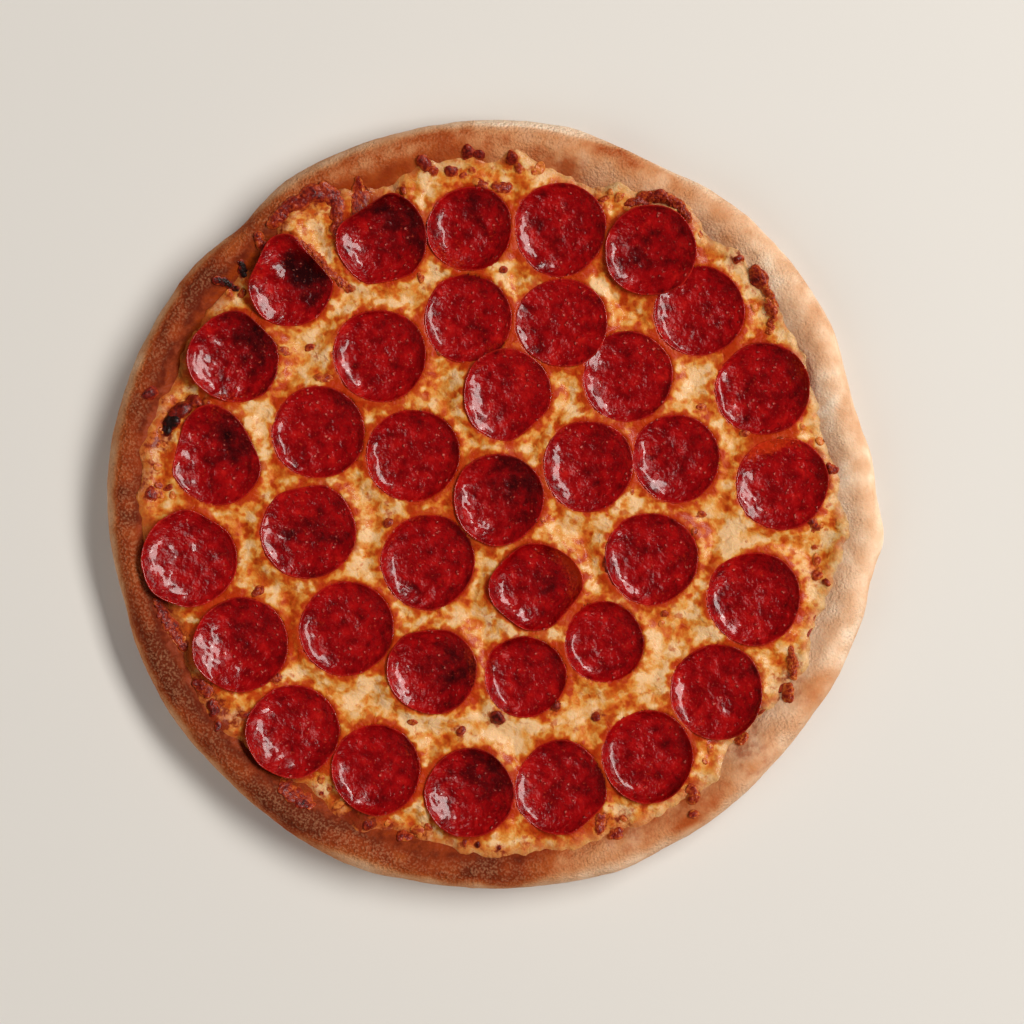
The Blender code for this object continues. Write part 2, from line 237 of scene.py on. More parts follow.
UNDER_RINGS = np.array([40, 90, 130, 152, 162, 166]) * MM
WELL_RINGS = np.array([143, 110, 70, 30]) * MM
SLOPE_FOOT_RADIUS = 149 * MM
LOWER_STEPS, UPPER_STEPS, SLOPE_STEPS = 15, 26, 38


def dough_section():
    """Rings and heights from under the middle, round the rim by two quarter ellipses, to the well."""
    under, inner = UNDER_RINGS, WELL_RINGS
    lower = np.linspace(0.0, math.pi / 2.0, LOWER_STEPS)[1:]
    upper = np.linspace(0.0, math.pi / 2.0, UPPER_STEPS)[1:]
    slope = np.linspace(CROWN_RADIUS, SLOPE_FOOT_RADIUS, SLOPE_STEPS)[1:]
    rings = [
        under,
        FOOT_RADIUS + (DOUGH_RADIUS - FOOT_RADIUS) * np.sin(lower),
        CROWN_RADIUS + (DOUGH_RADIUS - CROWN_RADIUS) * np.cos(upper),
        slope,
        inner,
    ]
    heights = [
        np.zeros(len(under)),
        WIDEST_HEIGHT * (1.0 - np.cos(lower)),
        WIDEST_HEIGHT + (CROWN_HEIGHT - WIDEST_HEIGHT) * np.sin(upper),
        slope_height(slope),
        slope_height(inner),
    ]
    return np.concatenate(rings), np.concatenate(heights)


# The relief of the crust's skin, in millimetres: swells, and wrinkles on them. Rows of relief hold height,
# size in millimetres, seed and number of layers.
CRUST_SWELLS = [(0.55, 27, 3, 2), (0.22, 8, 11, 1)]
CRUST_WRINKLES = [(0.11, 3.0, 21, 1), (0.07, 1.5, 22, 1)]
SKIN_FOOT = 5 * MM
SKIN_START, SKIN_FADE = 146 * MM, 8 * MM
DOUGH_AROUND = 1000

# Blisters: how many, the rows of the section where they rise, and their radii and heights in millimetres.
BLISTERS = 70
BLISTER_ROWS = (24, 72)
BLISTER_RADII = (1.6, 5.5)
BLISTER_HEIGHTS = (0.12, 0.5)

# The lip of dough folded over the crown: direction and half width in degrees, and strength; the radius and
# the relief of its edge in millimetres, the width of its step, and its height in millimetres.
LIP_FOLDS = [(83, 11, 1.0), (62, 8, 0.5)]
LIP_RADIUS = 173.2
LIP_EDGE = [(0.9, 9, 31, 1)]
LIP_STEP = 0.9 * MM
LIP_RISE = 0.55

# How the crust browned, as shares: more on the inner slope where its side is brown, less on the lip and on
# the outer flank. Two parts of it are painted light: the inner slope on the pale side is a little paler to
# lift its shade, and the outer flank on the brown side is paler, partly a pale edge of the dough and partly
# painted light that lifts the shade of the flank facing away from the lamp. The relief rows here mottle the
# bake, the oil and the flour.
SLOPE_START, SLOPE_FADE = 167 * MM, 8 * MM
SLOPE_BAKE_AND_LIGHT, EVEN_BAKE, SLOPE_PAINTED_LIGHT = 0.75, 0.42, -0.04
LIP_PALER = 0.30
FLANK_START, FLANK_FADE = 170.5 * MM, 6 * MM
FLANK_PALE_AND_LIT, BROWNEST = 0.45, 0.80
BAKE_MOTTLE = [(0.11, 21, 41, 3), (0.10, 6, 47, 1)]
OIL_FADE = 9 * MM
OIL_STRENGTH = 1.35
OIL_MOTTLE = [(0.16, 12, 53, 3)]
FLOUR_MOTTLE = [(0.3, 15, 61, 3)]
FLOUR_MEAN, FLOUR_SWING, FLOUR_MOST, LIP_FLOUR = 0.74, 0.35, 0.70, 0.6

# Smears of orange oil on the crust, and places scorched brown: x, y and reach in millimetres, and strength.
OIL_SMEARS = [(34, 155, 7, 0.9), (-151, 31, 9, 0.9), (-4, 151, 8, 0.5), (-68, 142, 8, 0.2),
              (-150, 2, 7, 0.5), (62, -150, 12, 0.7), (90, -137, 12, 0.7), (118, -114, 12, 0.6),
              (140, -86, 10, 0.5)]
SCORCHES = [(-132, 98, 12, 0.25), (-150, -70, 22, 0.3), (-90, -142, 26, 0.3),
            (0, -168, 30, 0.25), (60, 168, 14, 0.3), (95, -140, 16, 0.2), (150, -85, 10, 0.25)]


def crust_bake(angle):
    """How brown the crust is all round: a cosine of the direction, which levels off on the browner side."""
    return np.minimum(0.57 - 0.40 * np.cos(angle - math.radians(8)), BROWNEST)


def make_dough():
    """Carries the section round the rim, then moves the skin along its normals by the relief."""
    rings, heights = dough_section()
    angle = np.linspace(0.0, TURN, DOUGH_AROUND, endpoint=False)[None, :]
    reach = stretched(rings[:, None], angle)
    height = raised(heights[:, None], angle)
    grid = round_middle(reach, angle, height)
    skin = ease(height / SKIN_FOOT) * ease((rings[:, None] - SKIN_START) / SKIN_FADE)
    relief = relief_of(grid, CRUST_SWELLS) + relief_of(grid, CRUST_WRINKLES)
    rng = np.random.default_rng(7)
    for _ in range(BLISTERS):
        row = rng.integers(*BLISTER_ROWS)
        centre = grid[row, rng.integers(0, DOUGH_AROUND)]
        radius = rng.uniform(*BLISTER_RADII) * MM
        away = np.linalg.norm(grid - centre, axis=-1) / radius
        relief += rng.uniform(*BLISTER_HEIGHTS) * np.exp(-away**2)
    lip_edge = (LIP_RADIUS + relief_of(grid, LIP_EDGE)) * MM
    folds = sum(strength * near_angle(angle, direction, half) for direction, half, strength in LIP_FOLDS)
    folded = folds * ease((reach - lip_edge) / LIP_STEP)
    relief += LIP_RISE * folded
    grid = grid + normals_of(grid) * (skin * (relief * MM - SKIN_DEPTH))[..., None]

    facing = crust_bake(angle)
    inside = SLOPE_START - reach
    # The inner slope: browner on the brown side; on the pale side a little paler, painted light that lifts
    # the shade of a slope facing away from the lamp.
    slope_bake_and_light = SLOPE_BAKE_AND_LIGHT * np.maximum(facing - EVEN_BAKE, SLOPE_PAINTED_LIGHT)
    bake = facing + relief_of(grid, BAKE_MOTTLE) + slope_bake_and_light * ease(inside / SLOPE_FADE)
    # The outer flank on the brown side is painted paler: partly a pale edge of the dough, partly painted
    # light that lifts the shade of the flank facing away from the lamp.
    flank = ease((reach - FLANK_START) / FLANK_FADE) * ease(facing / BROWNEST)
    bake -= LIP_PALER * folded + FLANK_PALE_AND_LIT * flank
    bake += spots_of(grid, SCORCHES)
    oil = OIL_STRENGTH * facing**2 * ease(inside / OIL_FADE) + relief_of(grid, OIL_MOTTLE)
    oil += spots_of(grid, OIL_SMEARS)
    flour = np.minimum(FLOUR_MEAN - FLOUR_SWING * np.cos(angle), FLOUR_MOST)
    flour = flour + relief_of(grid, FLOUR_MOTTLE) - oil + LIP_FLOUR * folded
    values = {"bake": bake, "oil": oil, "flour": flour}
    return closed_mesh("dough_crust", grid, (0.0, 0.0, 0.0), (0.0, 0.0, WELL_HEIGHT), values)


def paint(red, green, blue):
    """A colour as seen on a screen, from 0 to 255, as the linear colour that a shader takes."""
    screen = np.array([red, green, blue]) / 255.0
    linear = np.where(screen <= 0.04045, screen / 12.92, ((screen + 0.055) / 1.055) ** 2.4)
    return (*linear.tolist(), 1.0)


class Finish:
    """A material under construction: its nodes are added by short calls, each of which returns a socket."""

    def __init__(self, name):
        self.material = bpy.data.materials.new(name)
        self.material.use_nodes = True
        self.tree = self.material.node_tree
        self.shader = self.tree.nodes["Principled BSDF"]
        self.place = self.tree.nodes.new("ShaderNodeTexCoord").outputs["Object"]

    def put(self, socket, value):
        """Links an input to a socket, or sets it to a number or a colour."""
        if isinstance(value, bpy.types.NodeSocket):
            self.tree.links.new(value, socket)
        else:
            socket.default_value = value

    def value(self, title):
        """One of the piece's own attributes."""
        node = self.tree.nodes.new("ShaderNodeAttribute")
        node.attribute_name = title
        return node.outputs["Fac"]

    def noise(self, size, detail=3.0, roughness=0.55, twist=0.0):
        """Cloudy noise with features of about that size in metres, from 0 to 1."""
        node = self.tree.nodes.new("ShaderNodeTexNoise")
        self.put(node.inputs["Vector"], self.place)
        node.inputs["Scale"].default_value = 1.0 / size
        node.inputs["Detail"].default_value = detail
        node.inputs["Roughness"].default_value = roughness
        node.inputs["Distortion"].default_value = twist
        return node.outputs["Fac"]

    def cells(self, size):
        """The distance from the nearest of scattered points about that far apart, in that unit."""
        node = self.tree.nodes.new("ShaderNodeTexVoronoi")
        self.put(node.inputs["Vector"], self.place)
        node.inputs["Scale"].default_value = 1.0 / size
        return node.outputs["Distance"]

    def sum(self, kind, first, second=0.0):
        """Arithmetic on two numbers: ADD, SUBTRACT, MULTIPLY and so on."""
        node = self.tree.nodes.new("ShaderNodeMath")
        node.operation = kind
        self.put(node.inputs[0], first)
        self.put(node.inputs[1], second)
        return node.outputs[0]

    def between(self, value, low, high, out_low=0.0, out_high=1.0):
        """Eases a number that runs from low to high into one that runs from out_low to out_high."""
        node = self.tree.nodes.new("ShaderNodeMapRange")
        node.interpolation_type = "SMOOTHSTEP"
        self.put(node.inputs["Value"], value)
        node.inputs["From Min"].default_value = low
        node.inputs["From Max"].default_value = high
        node.inputs["To Min"].default_value = out_low
        node.inputs["To Max"].default_value = out_high
        return node.outputs["Result"]

    def mixed(self, share, first, second):
        """Two colours mixed by a share from 0 to 1."""
        node = self.tree.nodes.new("ShaderNodeMix")
        node.data_type = "RGBA"
        self.put(node.inputs[0], share)
        self.put(node.inputs[6], first)
        self.put(node.inputs[7], second)
        return node.outputs[2]

    def ramp(self, share, stops):
        """A run of colours: each stop is a share and the colour that it has there, as seen on a screen."""
        node = self.tree.nodes.new("ShaderNodeValToRGB")
        self.put(node.inputs["Fac"], share)
        elements = node.color_ramp.elements
        while len(elements) < len(stops):
            elements.new(0.5)
        for element, (at, colour) in zip(elements, stops):
            element.position = at
            element.color = paint(*colour)
        return node.outputs["Color"]

    def bumped(self, height, depth, below=None):
        """Fine relief of that depth in metres, over an earlier one where there is one."""
        node = self.tree.nodes.new("ShaderNodeBump")
        self.put(node.inputs["Height"], height)
        node.inputs["Distance"].default_value = depth
        if below is not None:
            self.put(node.inputs["Normal"], below)
        return node.outputs["Normal"]

    def done(self, **inputs):
        """Sets the shader's inputs, named with _ for a space, and returns the material."""
        for title, value in inputs.items():
            self.put(self.shader.inputs[title.replace("_", " ")], value)
        return self.material


# The crust's colours, from cream to scorched, by how it baked; flour, the pits between its grains, and oil.
CRUST_TONES = [(0.0, (254, 226, 196)), (0.12, (242, 202, 166)), (0.26, (226, 176, 136)),
               (0.48, (204, 136, 88)), (0.66, (172, 80, 32)), (0.84, (142, 50, 14)), (1.0, (100, 28, 6))]
FLOUR_COLOUR = paint(204, 144, 102)
PIT_COLOUR = paint(128, 62, 28)
CRUST_OIL_COLOUR = paint(158, 60, 12)
GRAIN_SIZE = 1.2 * MM
GRAIN_DEPTH = 0.34 * MM


def crust_finish():
    """Baked dough: cream to brown by how it baked, dusted with coarse pale flour, oily near the cheese."""
    crust = Finish("baked_crust")
    mottle = crust.noise(9 * MM, 4.0, 0.6)
    bake = crust.sum("ADD", crust.value("bake"), crust.between(mottle, 0.25, 0.75, -0.08, 0.08))
    colour = crust.ramp(bake, CRUST_TONES)
    blur = crust.between(crust.noise(1.3 * MM), 0.25, 0.75, -0.4, 0.4)
    grain = crust.sum("ADD", crust.cells(GRAIN_SIZE), blur)
    floury = crust.between(crust.value("flour"), 0.0, 1.0)
    dust = crust.sum("MULTIPLY", crust.between(grain, 0.75, 0.05, 0.0, 0.36), floury)
    colour = crust.mixed(dust, colour, FLOUR_COLOUR)
    pits = crust.sum("MULTIPLY", crust.between(grain, 0.45, 1.0, 0.0, 0.28), floury)
    colour = crust.mixed(pits, colour, PIT_COLOUR)
    patches = crust.between(crust.noise(4 * MM, 3.0), 0.3, 0.7, -0.25, 0.25)
    oil = crust.between(crust.sum("ADD", crust.value("oil"), patches), 0.25, 1.1)
    colour = crust.mixed(crust.sum("MULTIPLY", oil, 0.75), colour, CRUST_OIL_COLOUR)
    bump = crust.bumped(crust.sum("MULTIPLY", grain, crust.sum("ADD", floury, 0.3)), -GRAIN_DEPTH)
    bump = crust.bumped(crust.noise(3.2 * MM, 3.0), 0.35 * MM, bump)
    rough = crust.between(oil, 0.0, 1.0, 0.82, 0.42)
    return crust.done(
        Base_Color=colour,
        Roughness=rough,
        Normal=bump,
        Specular_IOR_Level=0.12,
        Subsurface_Weight=0.06,
        Subsurface_Scale=0.002,
    )


piece("dough_crust", make_dough(), crust_finish(), "baked_dough", "dough")


# The sauce: crushed tomato, spread thin on the dough before the cheese. Only its dried, darkened edge
# shows, in a thin uneven line between cheese and crust. It is one closed skin from well to edge.
SAUCE_GAP = 0.4 * MM
SAUCE_THICKNESS = 1.3 * MM
SAUCE_EDGE_THICKNESS = 0.7 * MM
CHEESE_RADIUS = 160 * MM
SAUCE_AROUND = 900
SAUCE_SHARES = np.array([0.3, 0.6, 0.88, 0.92, 0.95, 0.97, 0.985, 0.995, 1.0])[:, None]
SAUCE_EDGE_SHORT = 6 * MM
SAUCE_RAGGED_RING = 150 * MM
SAUCE_RAGGED = [(1.6, 9, 71, 3)]
SAUCE_GRAIN = [(0.12, 2.0, 73, 1)]
SAUCE_TONES = [(0.3, (104, 28, 12)), (0.5, (158, 52, 22)), (0.7, (190, 84, 36))]

sauce_edge = reach_curve(points_of("tomato_sauce"))


def thinning(ring):
    """How far a layer has thinned towards its edge: an ease from the well to the cheese's mean edge."""
    return ease((ring - WELL_RADIUS) / (CHEESE_RADIUS - WELL_RADIUS))


def sauce_top(ring, angle):
    """The dough's height, a hair's gap, and the sauce's thickness, which falls off outwards."""
    thickness = SAUCE_THICKNESS + (SAUCE_EDGE_THICKNESS - SAUCE_THICKNESS) * thinning(ring)
    return raised(slope_height(ring), angle) + SAUCE_GAP + thickness


def make_sauce():
    """Two sheets of rings, an under and a top one, that meet at a ragged edge that feathers out."""
    angle = np.linspace(0.0, TURN, SAUCE_AROUND, endpoint=False)[None, :]
    ragged = relief_of(round_middle(SAUCE_RAGGED_RING, angle, 0.0), SAUCE_RAGGED) * MM
    reach = (sauce_edge(angle) + ragged - SAUCE_EDGE_SHORT) * SAUCE_SHARES
    ring = true_ring(reach, angle)
    low = raised(slope_height(ring), angle) + 0.25 * SAUCE_GAP
    high = low + (sauce_top(ring, angle) - low) * np.sqrt(np.clip(1.0 - SAUCE_SHARES**60, 0.0, 1.0))
    over = round_middle(reach, angle, high)
    over[..., 2] += relief_of(over, SAUCE_GRAIN) * MM * (SAUCE_SHARES < 1.0)
    grid = np.concatenate([round_middle(reach, angle, low), over[-2::-1]])
    top = sauce_top(0.0, 0.0)
    return closed_mesh("sauce_skin", grid, (0.0, 0.0, WELL_HEIGHT + SAUCE_GAP), (0.0, 0.0, top), {})


def sauce_finish():
    """Reduced tomato: brick red with darker, drier blotches, moist in parts."""
    sauce = Finish("tomato_sauce")
    return sauce.done(
        Base_Color=sauce.ramp(sauce.noise(5 * MM, 4.0), SAUCE_TONES),
        Roughness=sauce.between(sauce.noise(3 * MM), 0.35, 0.7, 0.25, 0.6),
        Normal=sauce.bumped(sauce.noise(1.2 * MM), 0.4 * MM),
    )


piece("sauce_skin", make_sauce(), sauce_finish(), "tomato_sauce", "tomato_sauce")


# The cheese: shredded mozzarella, melted into one lumpy layer that has run up the rim, blistered there
# and taken up orange oil round each slice. Its top is a square grid bent into a disc, so that the lumps
# are as fine at the edge as in the middle.
CHEESE_THICKNESS = 3.0 * MM
CHEESE_EDGE_THICKNESS = 1.5 * MM
CHEESE_SWELL = 0.3 * MM
CHEESE_GRID = 300
RIM_BEDDED = 1.0 * MM
# Its three long waves: length in millimetres, direction and start in degrees.
CHEESE_WAVES = [(52, 20, 25), (61, 95, 120), (74, 150, 230)]

cheese_edge = reach_curve(points_of("melted_cheese"))

slice_nodes = sorted(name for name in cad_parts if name.startswith("pepperoni"))
# The solid of a slice: its points all round, the share of the radius of its inner ring, and how near the
# middle its other points are.
SLICE_SPOKES = 18
MID_SHARE = 0.6
SLICE_MIDDLE = 2 * MM
# The room that a folded edge leaves over it, the ripple of an edge, and how much deeper than the solid's a
# bowl is, less so where a slice lies partly on a neighbour.
HEADROOM = 2.8 * MM
RIPPLE = 0.45 * MM
LAPPING_SINK, SINKS = 0.9 * MM, (1.8 * MM, 2.3 * MM)
LAPPING = ("pepperoni_outer_04", "pepperoni_middle_04", "pepperoni_inner_01")
# Waves in a slice's edge, as height, size and seed on a unit circle, and how far it stands out on average.
EDGE_WAVES = [(0.040, 0.9, 200), (0.017, 0.4, 201), (0.007, 0.16, 202)]
EDGE_OVER = 0.014
# Slices that are cupped from near their middle, like a bowl, and not at their edge alone: the power of the
# share of the radius that the edge's curl goes by.
ROUNDED = {
    "pepperoni_inner_02": 4.0,
    "pepperoni_inner_06": 2.8,
    "pepperoni_middle_09": 3.0,
    "pepperoni_middle_11": 3.4,
    "pepperoni_outer_01": 3.2,
    "pepperoni_outer_12": 2.8,
    "pepperoni_outer_15": 3.2,
    "pepperoni_outer_17": 3.0,
    "pepperoni_outer_18": 2.8,
    "pepperoni_outer_19": 2.6,
}
# Straight edges of slices: direction, and distance from the middle as a share of the radius.
STRAIGHT = {
    "pepperoni_outer_01": [(122, 0.80), (-78, 0.90)],
    "pepperoni_outer_19": [(42, 0.80), (150, 0.88)],
    "pepperoni_outer_17": [(25, 0.90), (165, 0.90)],
    "pepperoni_outer_18": [(45, 0.92)],
    "pepperoni_inner_01": [(-48, 0.90)],
    "pepperoni_inner_03": [(135, 0.90), (-40, 0.93), (-130, 0.93)],
    "pepperoni_outer_11": [(-48, 0.92)],
    "pepperoni_middle_11": [(100, 0.93)],
    "pepperoni_outer_16": [(60, 0.94)],
    "pepperoni_middle_09": [(95, 0.93)],
}
# Edges drawn out to a blunt point: direction, half width in degrees, and length in millimetres.
DRAWN_OUT = {"pepperoni_outer_17": (98, 26, 3.2), "pepperoni_outer_19": (105, 24, 1.6)}
# Edges folded up beyond the curl: direction, half width in degrees, and height in millimetres.
FOLDED = {
    "pepperoni_outer_01": (70, 45, 2.2),
    "pepperoni_outer_19": (42, 34, 2.8),
    "pepperoni_outer_17": (50, 28, 1.8),
    "pepperoni_outer_18": (52, 30, 1.6),
    "pepperoni_outer_12": (45, 40, 1.4),
    "pepperoni_outer_04": (205, 60, 1.2),
    "pepperoni_inner_06": (35, 45, 1.4),
    "pepperoni_inner_03": (70, 50, 1.0),
    "pepperoni_inner_01": (190, 40, 0.9),
    "pepperoni_inner_02": (200, 40, 1.0),
    "pepperoni_middle_02": (40, 40, 0.8),
    "pepperoni_middle_09": (15, 40, 1.2),
    "pepperoni_outer_02": (190, 40, 1.2),
    "pepperoni_outer_16": (40, 40, 0.8),
}


class SliceForm:
    """How a slice lies, from its solid: its middle, its edge, and the height of its underside."""

    def __init__(self, node, number):
        points = points_of(node)
        low, high = points.min(axis=0), points.max(axis=0)
        centre = (low + high)[:2] / 2.0
        nearest = np.argmin(np.hypot(*(points[:, :2] - centre).T))
        self.node, self.number = node, number
        self.middle = points[nearest, :2]
        reach = np.hypot(*(points[:, :2] - self.middle).T)
        rim = reach > 0.8 * np.median(reach[reach > 0.7 * reach.max()])
        mid = ~rim & (reach > SLICE_MIDDLE)
        edge = spoke_values(points[rim], reach[rim], SLICE_SPOKES, self.middle)
        rim_low = spoke_values(points[rim], points[rim, 2], SLICE_SPOKES, self.middle, np.minimum)
        mid_low = spoke_values(points[mid], points[mid, 2], SLICE_SPOKES, self.middle, np.minimum)
        self.level = points[reach < SLICE_MIDDLE, 2].min()
        curl = (rim_low - self.level - (mid_low - self.level) / MID_SHARE) / (1.0 - MID_SHARE**2)
        lean = rim_low - self.level - curl
        turn = np.arange(SLICE_SPOKES) / SLICE_SPOKES * TURN
        self.tilt = 2.0 * np.array([np.mean(lean * np.cos(turn)), np.mean(lean * np.sin(turn))])
        self.outline = closed_curve(edge)
        self.curl = closed_curve(curl)
        self.bow = closed_curve(lean - self.tilt[0] * np.cos(turn) - self.tilt[1] * np.sin(turn))
        self.radius = edge.mean()
        rng = np.random.default_rng(number)
        lapping = node in LAPPING
        self.power = 3.0 if lapping else ROUNDED.get(node, rng.uniform(4.5, 7.5))
        self.flatness = 2.0 if lapping or node in ROUNDED else rng.uniform(2.5, 5.0)
        self.sink = LAPPING_SINK if lapping else rng.uniform(*SINKS)
        self.ripple = 0.0 if lapping else RIPPLE

    def circle(self, turn):
        """Places round a unit circle, each slice's at its own level, for relief that differs by slice."""
        return np.stack([np.cos(turn), np.sin(turn), 0 * turn + 3.0 * self.number], axis=-1)

    def edge(self, turn):
        """The solid's outline with waves, the smooth minimum of that and of straight cuts, and a point."""
        waves = sum(height * lumps(self.circle(turn), size, seed) for height, size, seed in EDGE_WAVES)
        edge = self.outline(turn) * (1.0 + waves + EDGE_OVER)
        for direction, distance in STRAIGHT.get(self.node, []):
            facing = np.maximum(np.cos(turn - math.radians(direction)), 0.1)
            edge = -np.logaddexp(-edge / MM, -distance * self.radius / facing / MM) * MM
        direction, half_width, length = DRAWN_OUT.get(self.node, (0, 30, 0.0))
        return edge + length * MM * near_angle(turn, direction, half_width)

    def underside(self, share, turn):
        """The sunk middle, a plane's tilt, the bow, curl and ripple times powers of the share, and a fold."""
        tilt = (self.tilt[0] * np.cos(turn) + self.tilt[1] * np.sin(turn)) * share
        under = self.level + tilt + self.bow(turn) * share**2 + self.curl(turn) * share**self.power
        under += self.ripple * lumps(self.circle(turn), 0.75, 204) * share**4
        under -= self.sink * (1.0 - share**self.flatness)
        direction, half_width, height = FOLDED.get(self.node, (0, 40, 0.0))
        fold = height * MM * near_angle(turn, direction, half_width) * share**5
        return under + np.minimum(fold, np.maximum(cad_high[2] - HEADROOM - under, 0.0))


slices = {node: SliceForm(node, number) for number, node in enumerate(slice_nodes, 1)}


def cheese_top(reach, angle):
    """The sauce's top, a hair's gap, the cheese's thickness, and the sum of its three long waves."""
    ring = true_ring(reach, angle)
    thickness = CHEESE_THICKNESS + (CHEESE_EDGE_THICKNESS - CHEESE_THICKNESS) * thinning(ring)
    swell = 0.0
    for length, direction, start in CHEESE_WAVES:
        along = ring * np.cos(angle - math.radians(direction))
        swell = swell + CHEESE_SWELL * np.sin(TURN * along / (length * MM) + math.radians(start))
    return sauce_top(ring, angle) + SAUCE_GAP + thickness + swell


def bent_square(count):
    """A square grid bent into a unit disc, ring by square ring: the share of the radius, and the angle."""
    side = np.linspace(-1.0, 1.0, count)
    across, along = np.meshgrid(side, side, indexing="ij")
    wide = np.abs(across) >= np.abs(along)
    longer = np.where(wide, across, along)
    shorter = np.where(wide, along, across)
    part = np.divide(shorter, longer, out=np.zeros_like(longer), where=longer != 0.0)
    angle = np.where(wide, math.pi / 4.0 * part, math.pi / 2.0 - math.pi / 4.0 * part)
    angle = np.where(longer < 0.0, angle + math.pi, angle)
    return np.abs(longer), angle


def border_of(grid):
    """The points round the border of a square grid, in turn."""
    return np.concatenate([grid[:-1, 0], grid[-1, :-1], grid[:0:-1, -1], grid[0, :0:-1]])


def bent_disc_mesh(name, top, under, values):
    """A closed skin: a square grid of points as its top, and rings of points under it down to a middle."""
    count = top.shape[0]
    index = np.arange(count * count).reshape(count, count)
    quads = np.stack([index[:-1, :-1], index[1:, :-1], index[1:, 1:], index[:-1, 1:]], axis=-1).reshape(-1, 4)
    border = border_of(index)
    lower = np.arange(len(under) * len(border)).reshape(len(under), len(border)) + index.size
    rings = np.concatenate([border[None], lower])
    after = np.roll(rings, -1, axis=1)
    sides = np.stack([rings[:-1], rings[1:], after[1:], after[:-1]], axis=-1).reshape(-1, 4)
    middle = np.full(len(border), index.size + lower.size)
    fan = np.stack([rings[-1], middle, after[-1]], axis=-1)
    foot = [0.0, 0.0, under[-1, :, 2].mean()]
    points = np.vstack([top.reshape(-1, 3), under.reshape(-1, 3), foot])
    below = {title: np.tile(border_of(numbers), len(under)) for title, numbers in values.items()}
    values = {title: np.concatenate([values[title].ravel(), below[title], [0.0]]) for title in values}
    return smooth_mesh(name, points, quads.tolist() + sides.tolist() + fan.tolist(), values)


# Places on the cheese in millimetres: x, y, reach and strength. The toasted ones are brown, the pale ones
# are thick, barely melted shreds.
TOASTED = [(-150, 30, 7, 0.5), (60, 108, 6, 0.5), (112, 112, 7, 0.5), (142, 62, 6, 0.4),
           (128, -82, 8, 0.6), (50, -147, 8, 0.5), (-62, -145, 8, 0.7), (-30, -148, 6, 0.4),
           (-140, -60, 7, 0.6), (-118, -98, 7, 0.6), (-97, 120, 6, 0.5), (50, -97, 5, 0.6),
           (28, -93, 5, 0.7), (2, -98, 5, 0.6), (-15, -104, 5, 0.5), (-14, 2, 4, 0.3),
           (22, 68, 4, 0.3), (148, -33, 5, 0.5), (-10, 106, 4, 0.5), (-48, -3, 5, 0.4),
           (52, -37, 4, 0.4), (112, -12, 5, 0.3), (-103, -32, 4, 0.3)]
PALE = [(112, -12, 10, 0.9), (-108, 42, 8, 0.8), (78, -75, 8, 0.6), (4, -104, 9, 0.5), (-52, 92, 9, 0.4),
        (-40, -100, 7, 0.6), (-20, 30, 5, 0.5), (60, -10, 5, 0.5), (155, 35, 8, 0.6), (-88, 57, 7, 0.8),
        (-105, 18, 6, 0.5), (12, -6, 5, 0.4), (100, -60, 6, 0.4), (-62, 0, 5, 0.5), (80, 45, 6, 0.5),
        (-83, 128, 6, 1.2), (-126, 94, 6, 0.9), (-28, 150, 5, 0.6), (22, 147, 4, 0.6)]

# Tongues of cheese that reach out over the crust to a knob: direction and half width in degrees, and length
# in millimetres.
TONGUES = [(101.5, 2.0, 2.2), (93.5, 2.2, 2.6), (86.5, 2.4, 0.6), (122, 4.5, 3.6), (163, 1.8, 2.0),
           (143, 3.5, 2.0), (178, 1.5, 1.8), (-112, 1.8, 1.8), (57, 2.2, 1.8)]

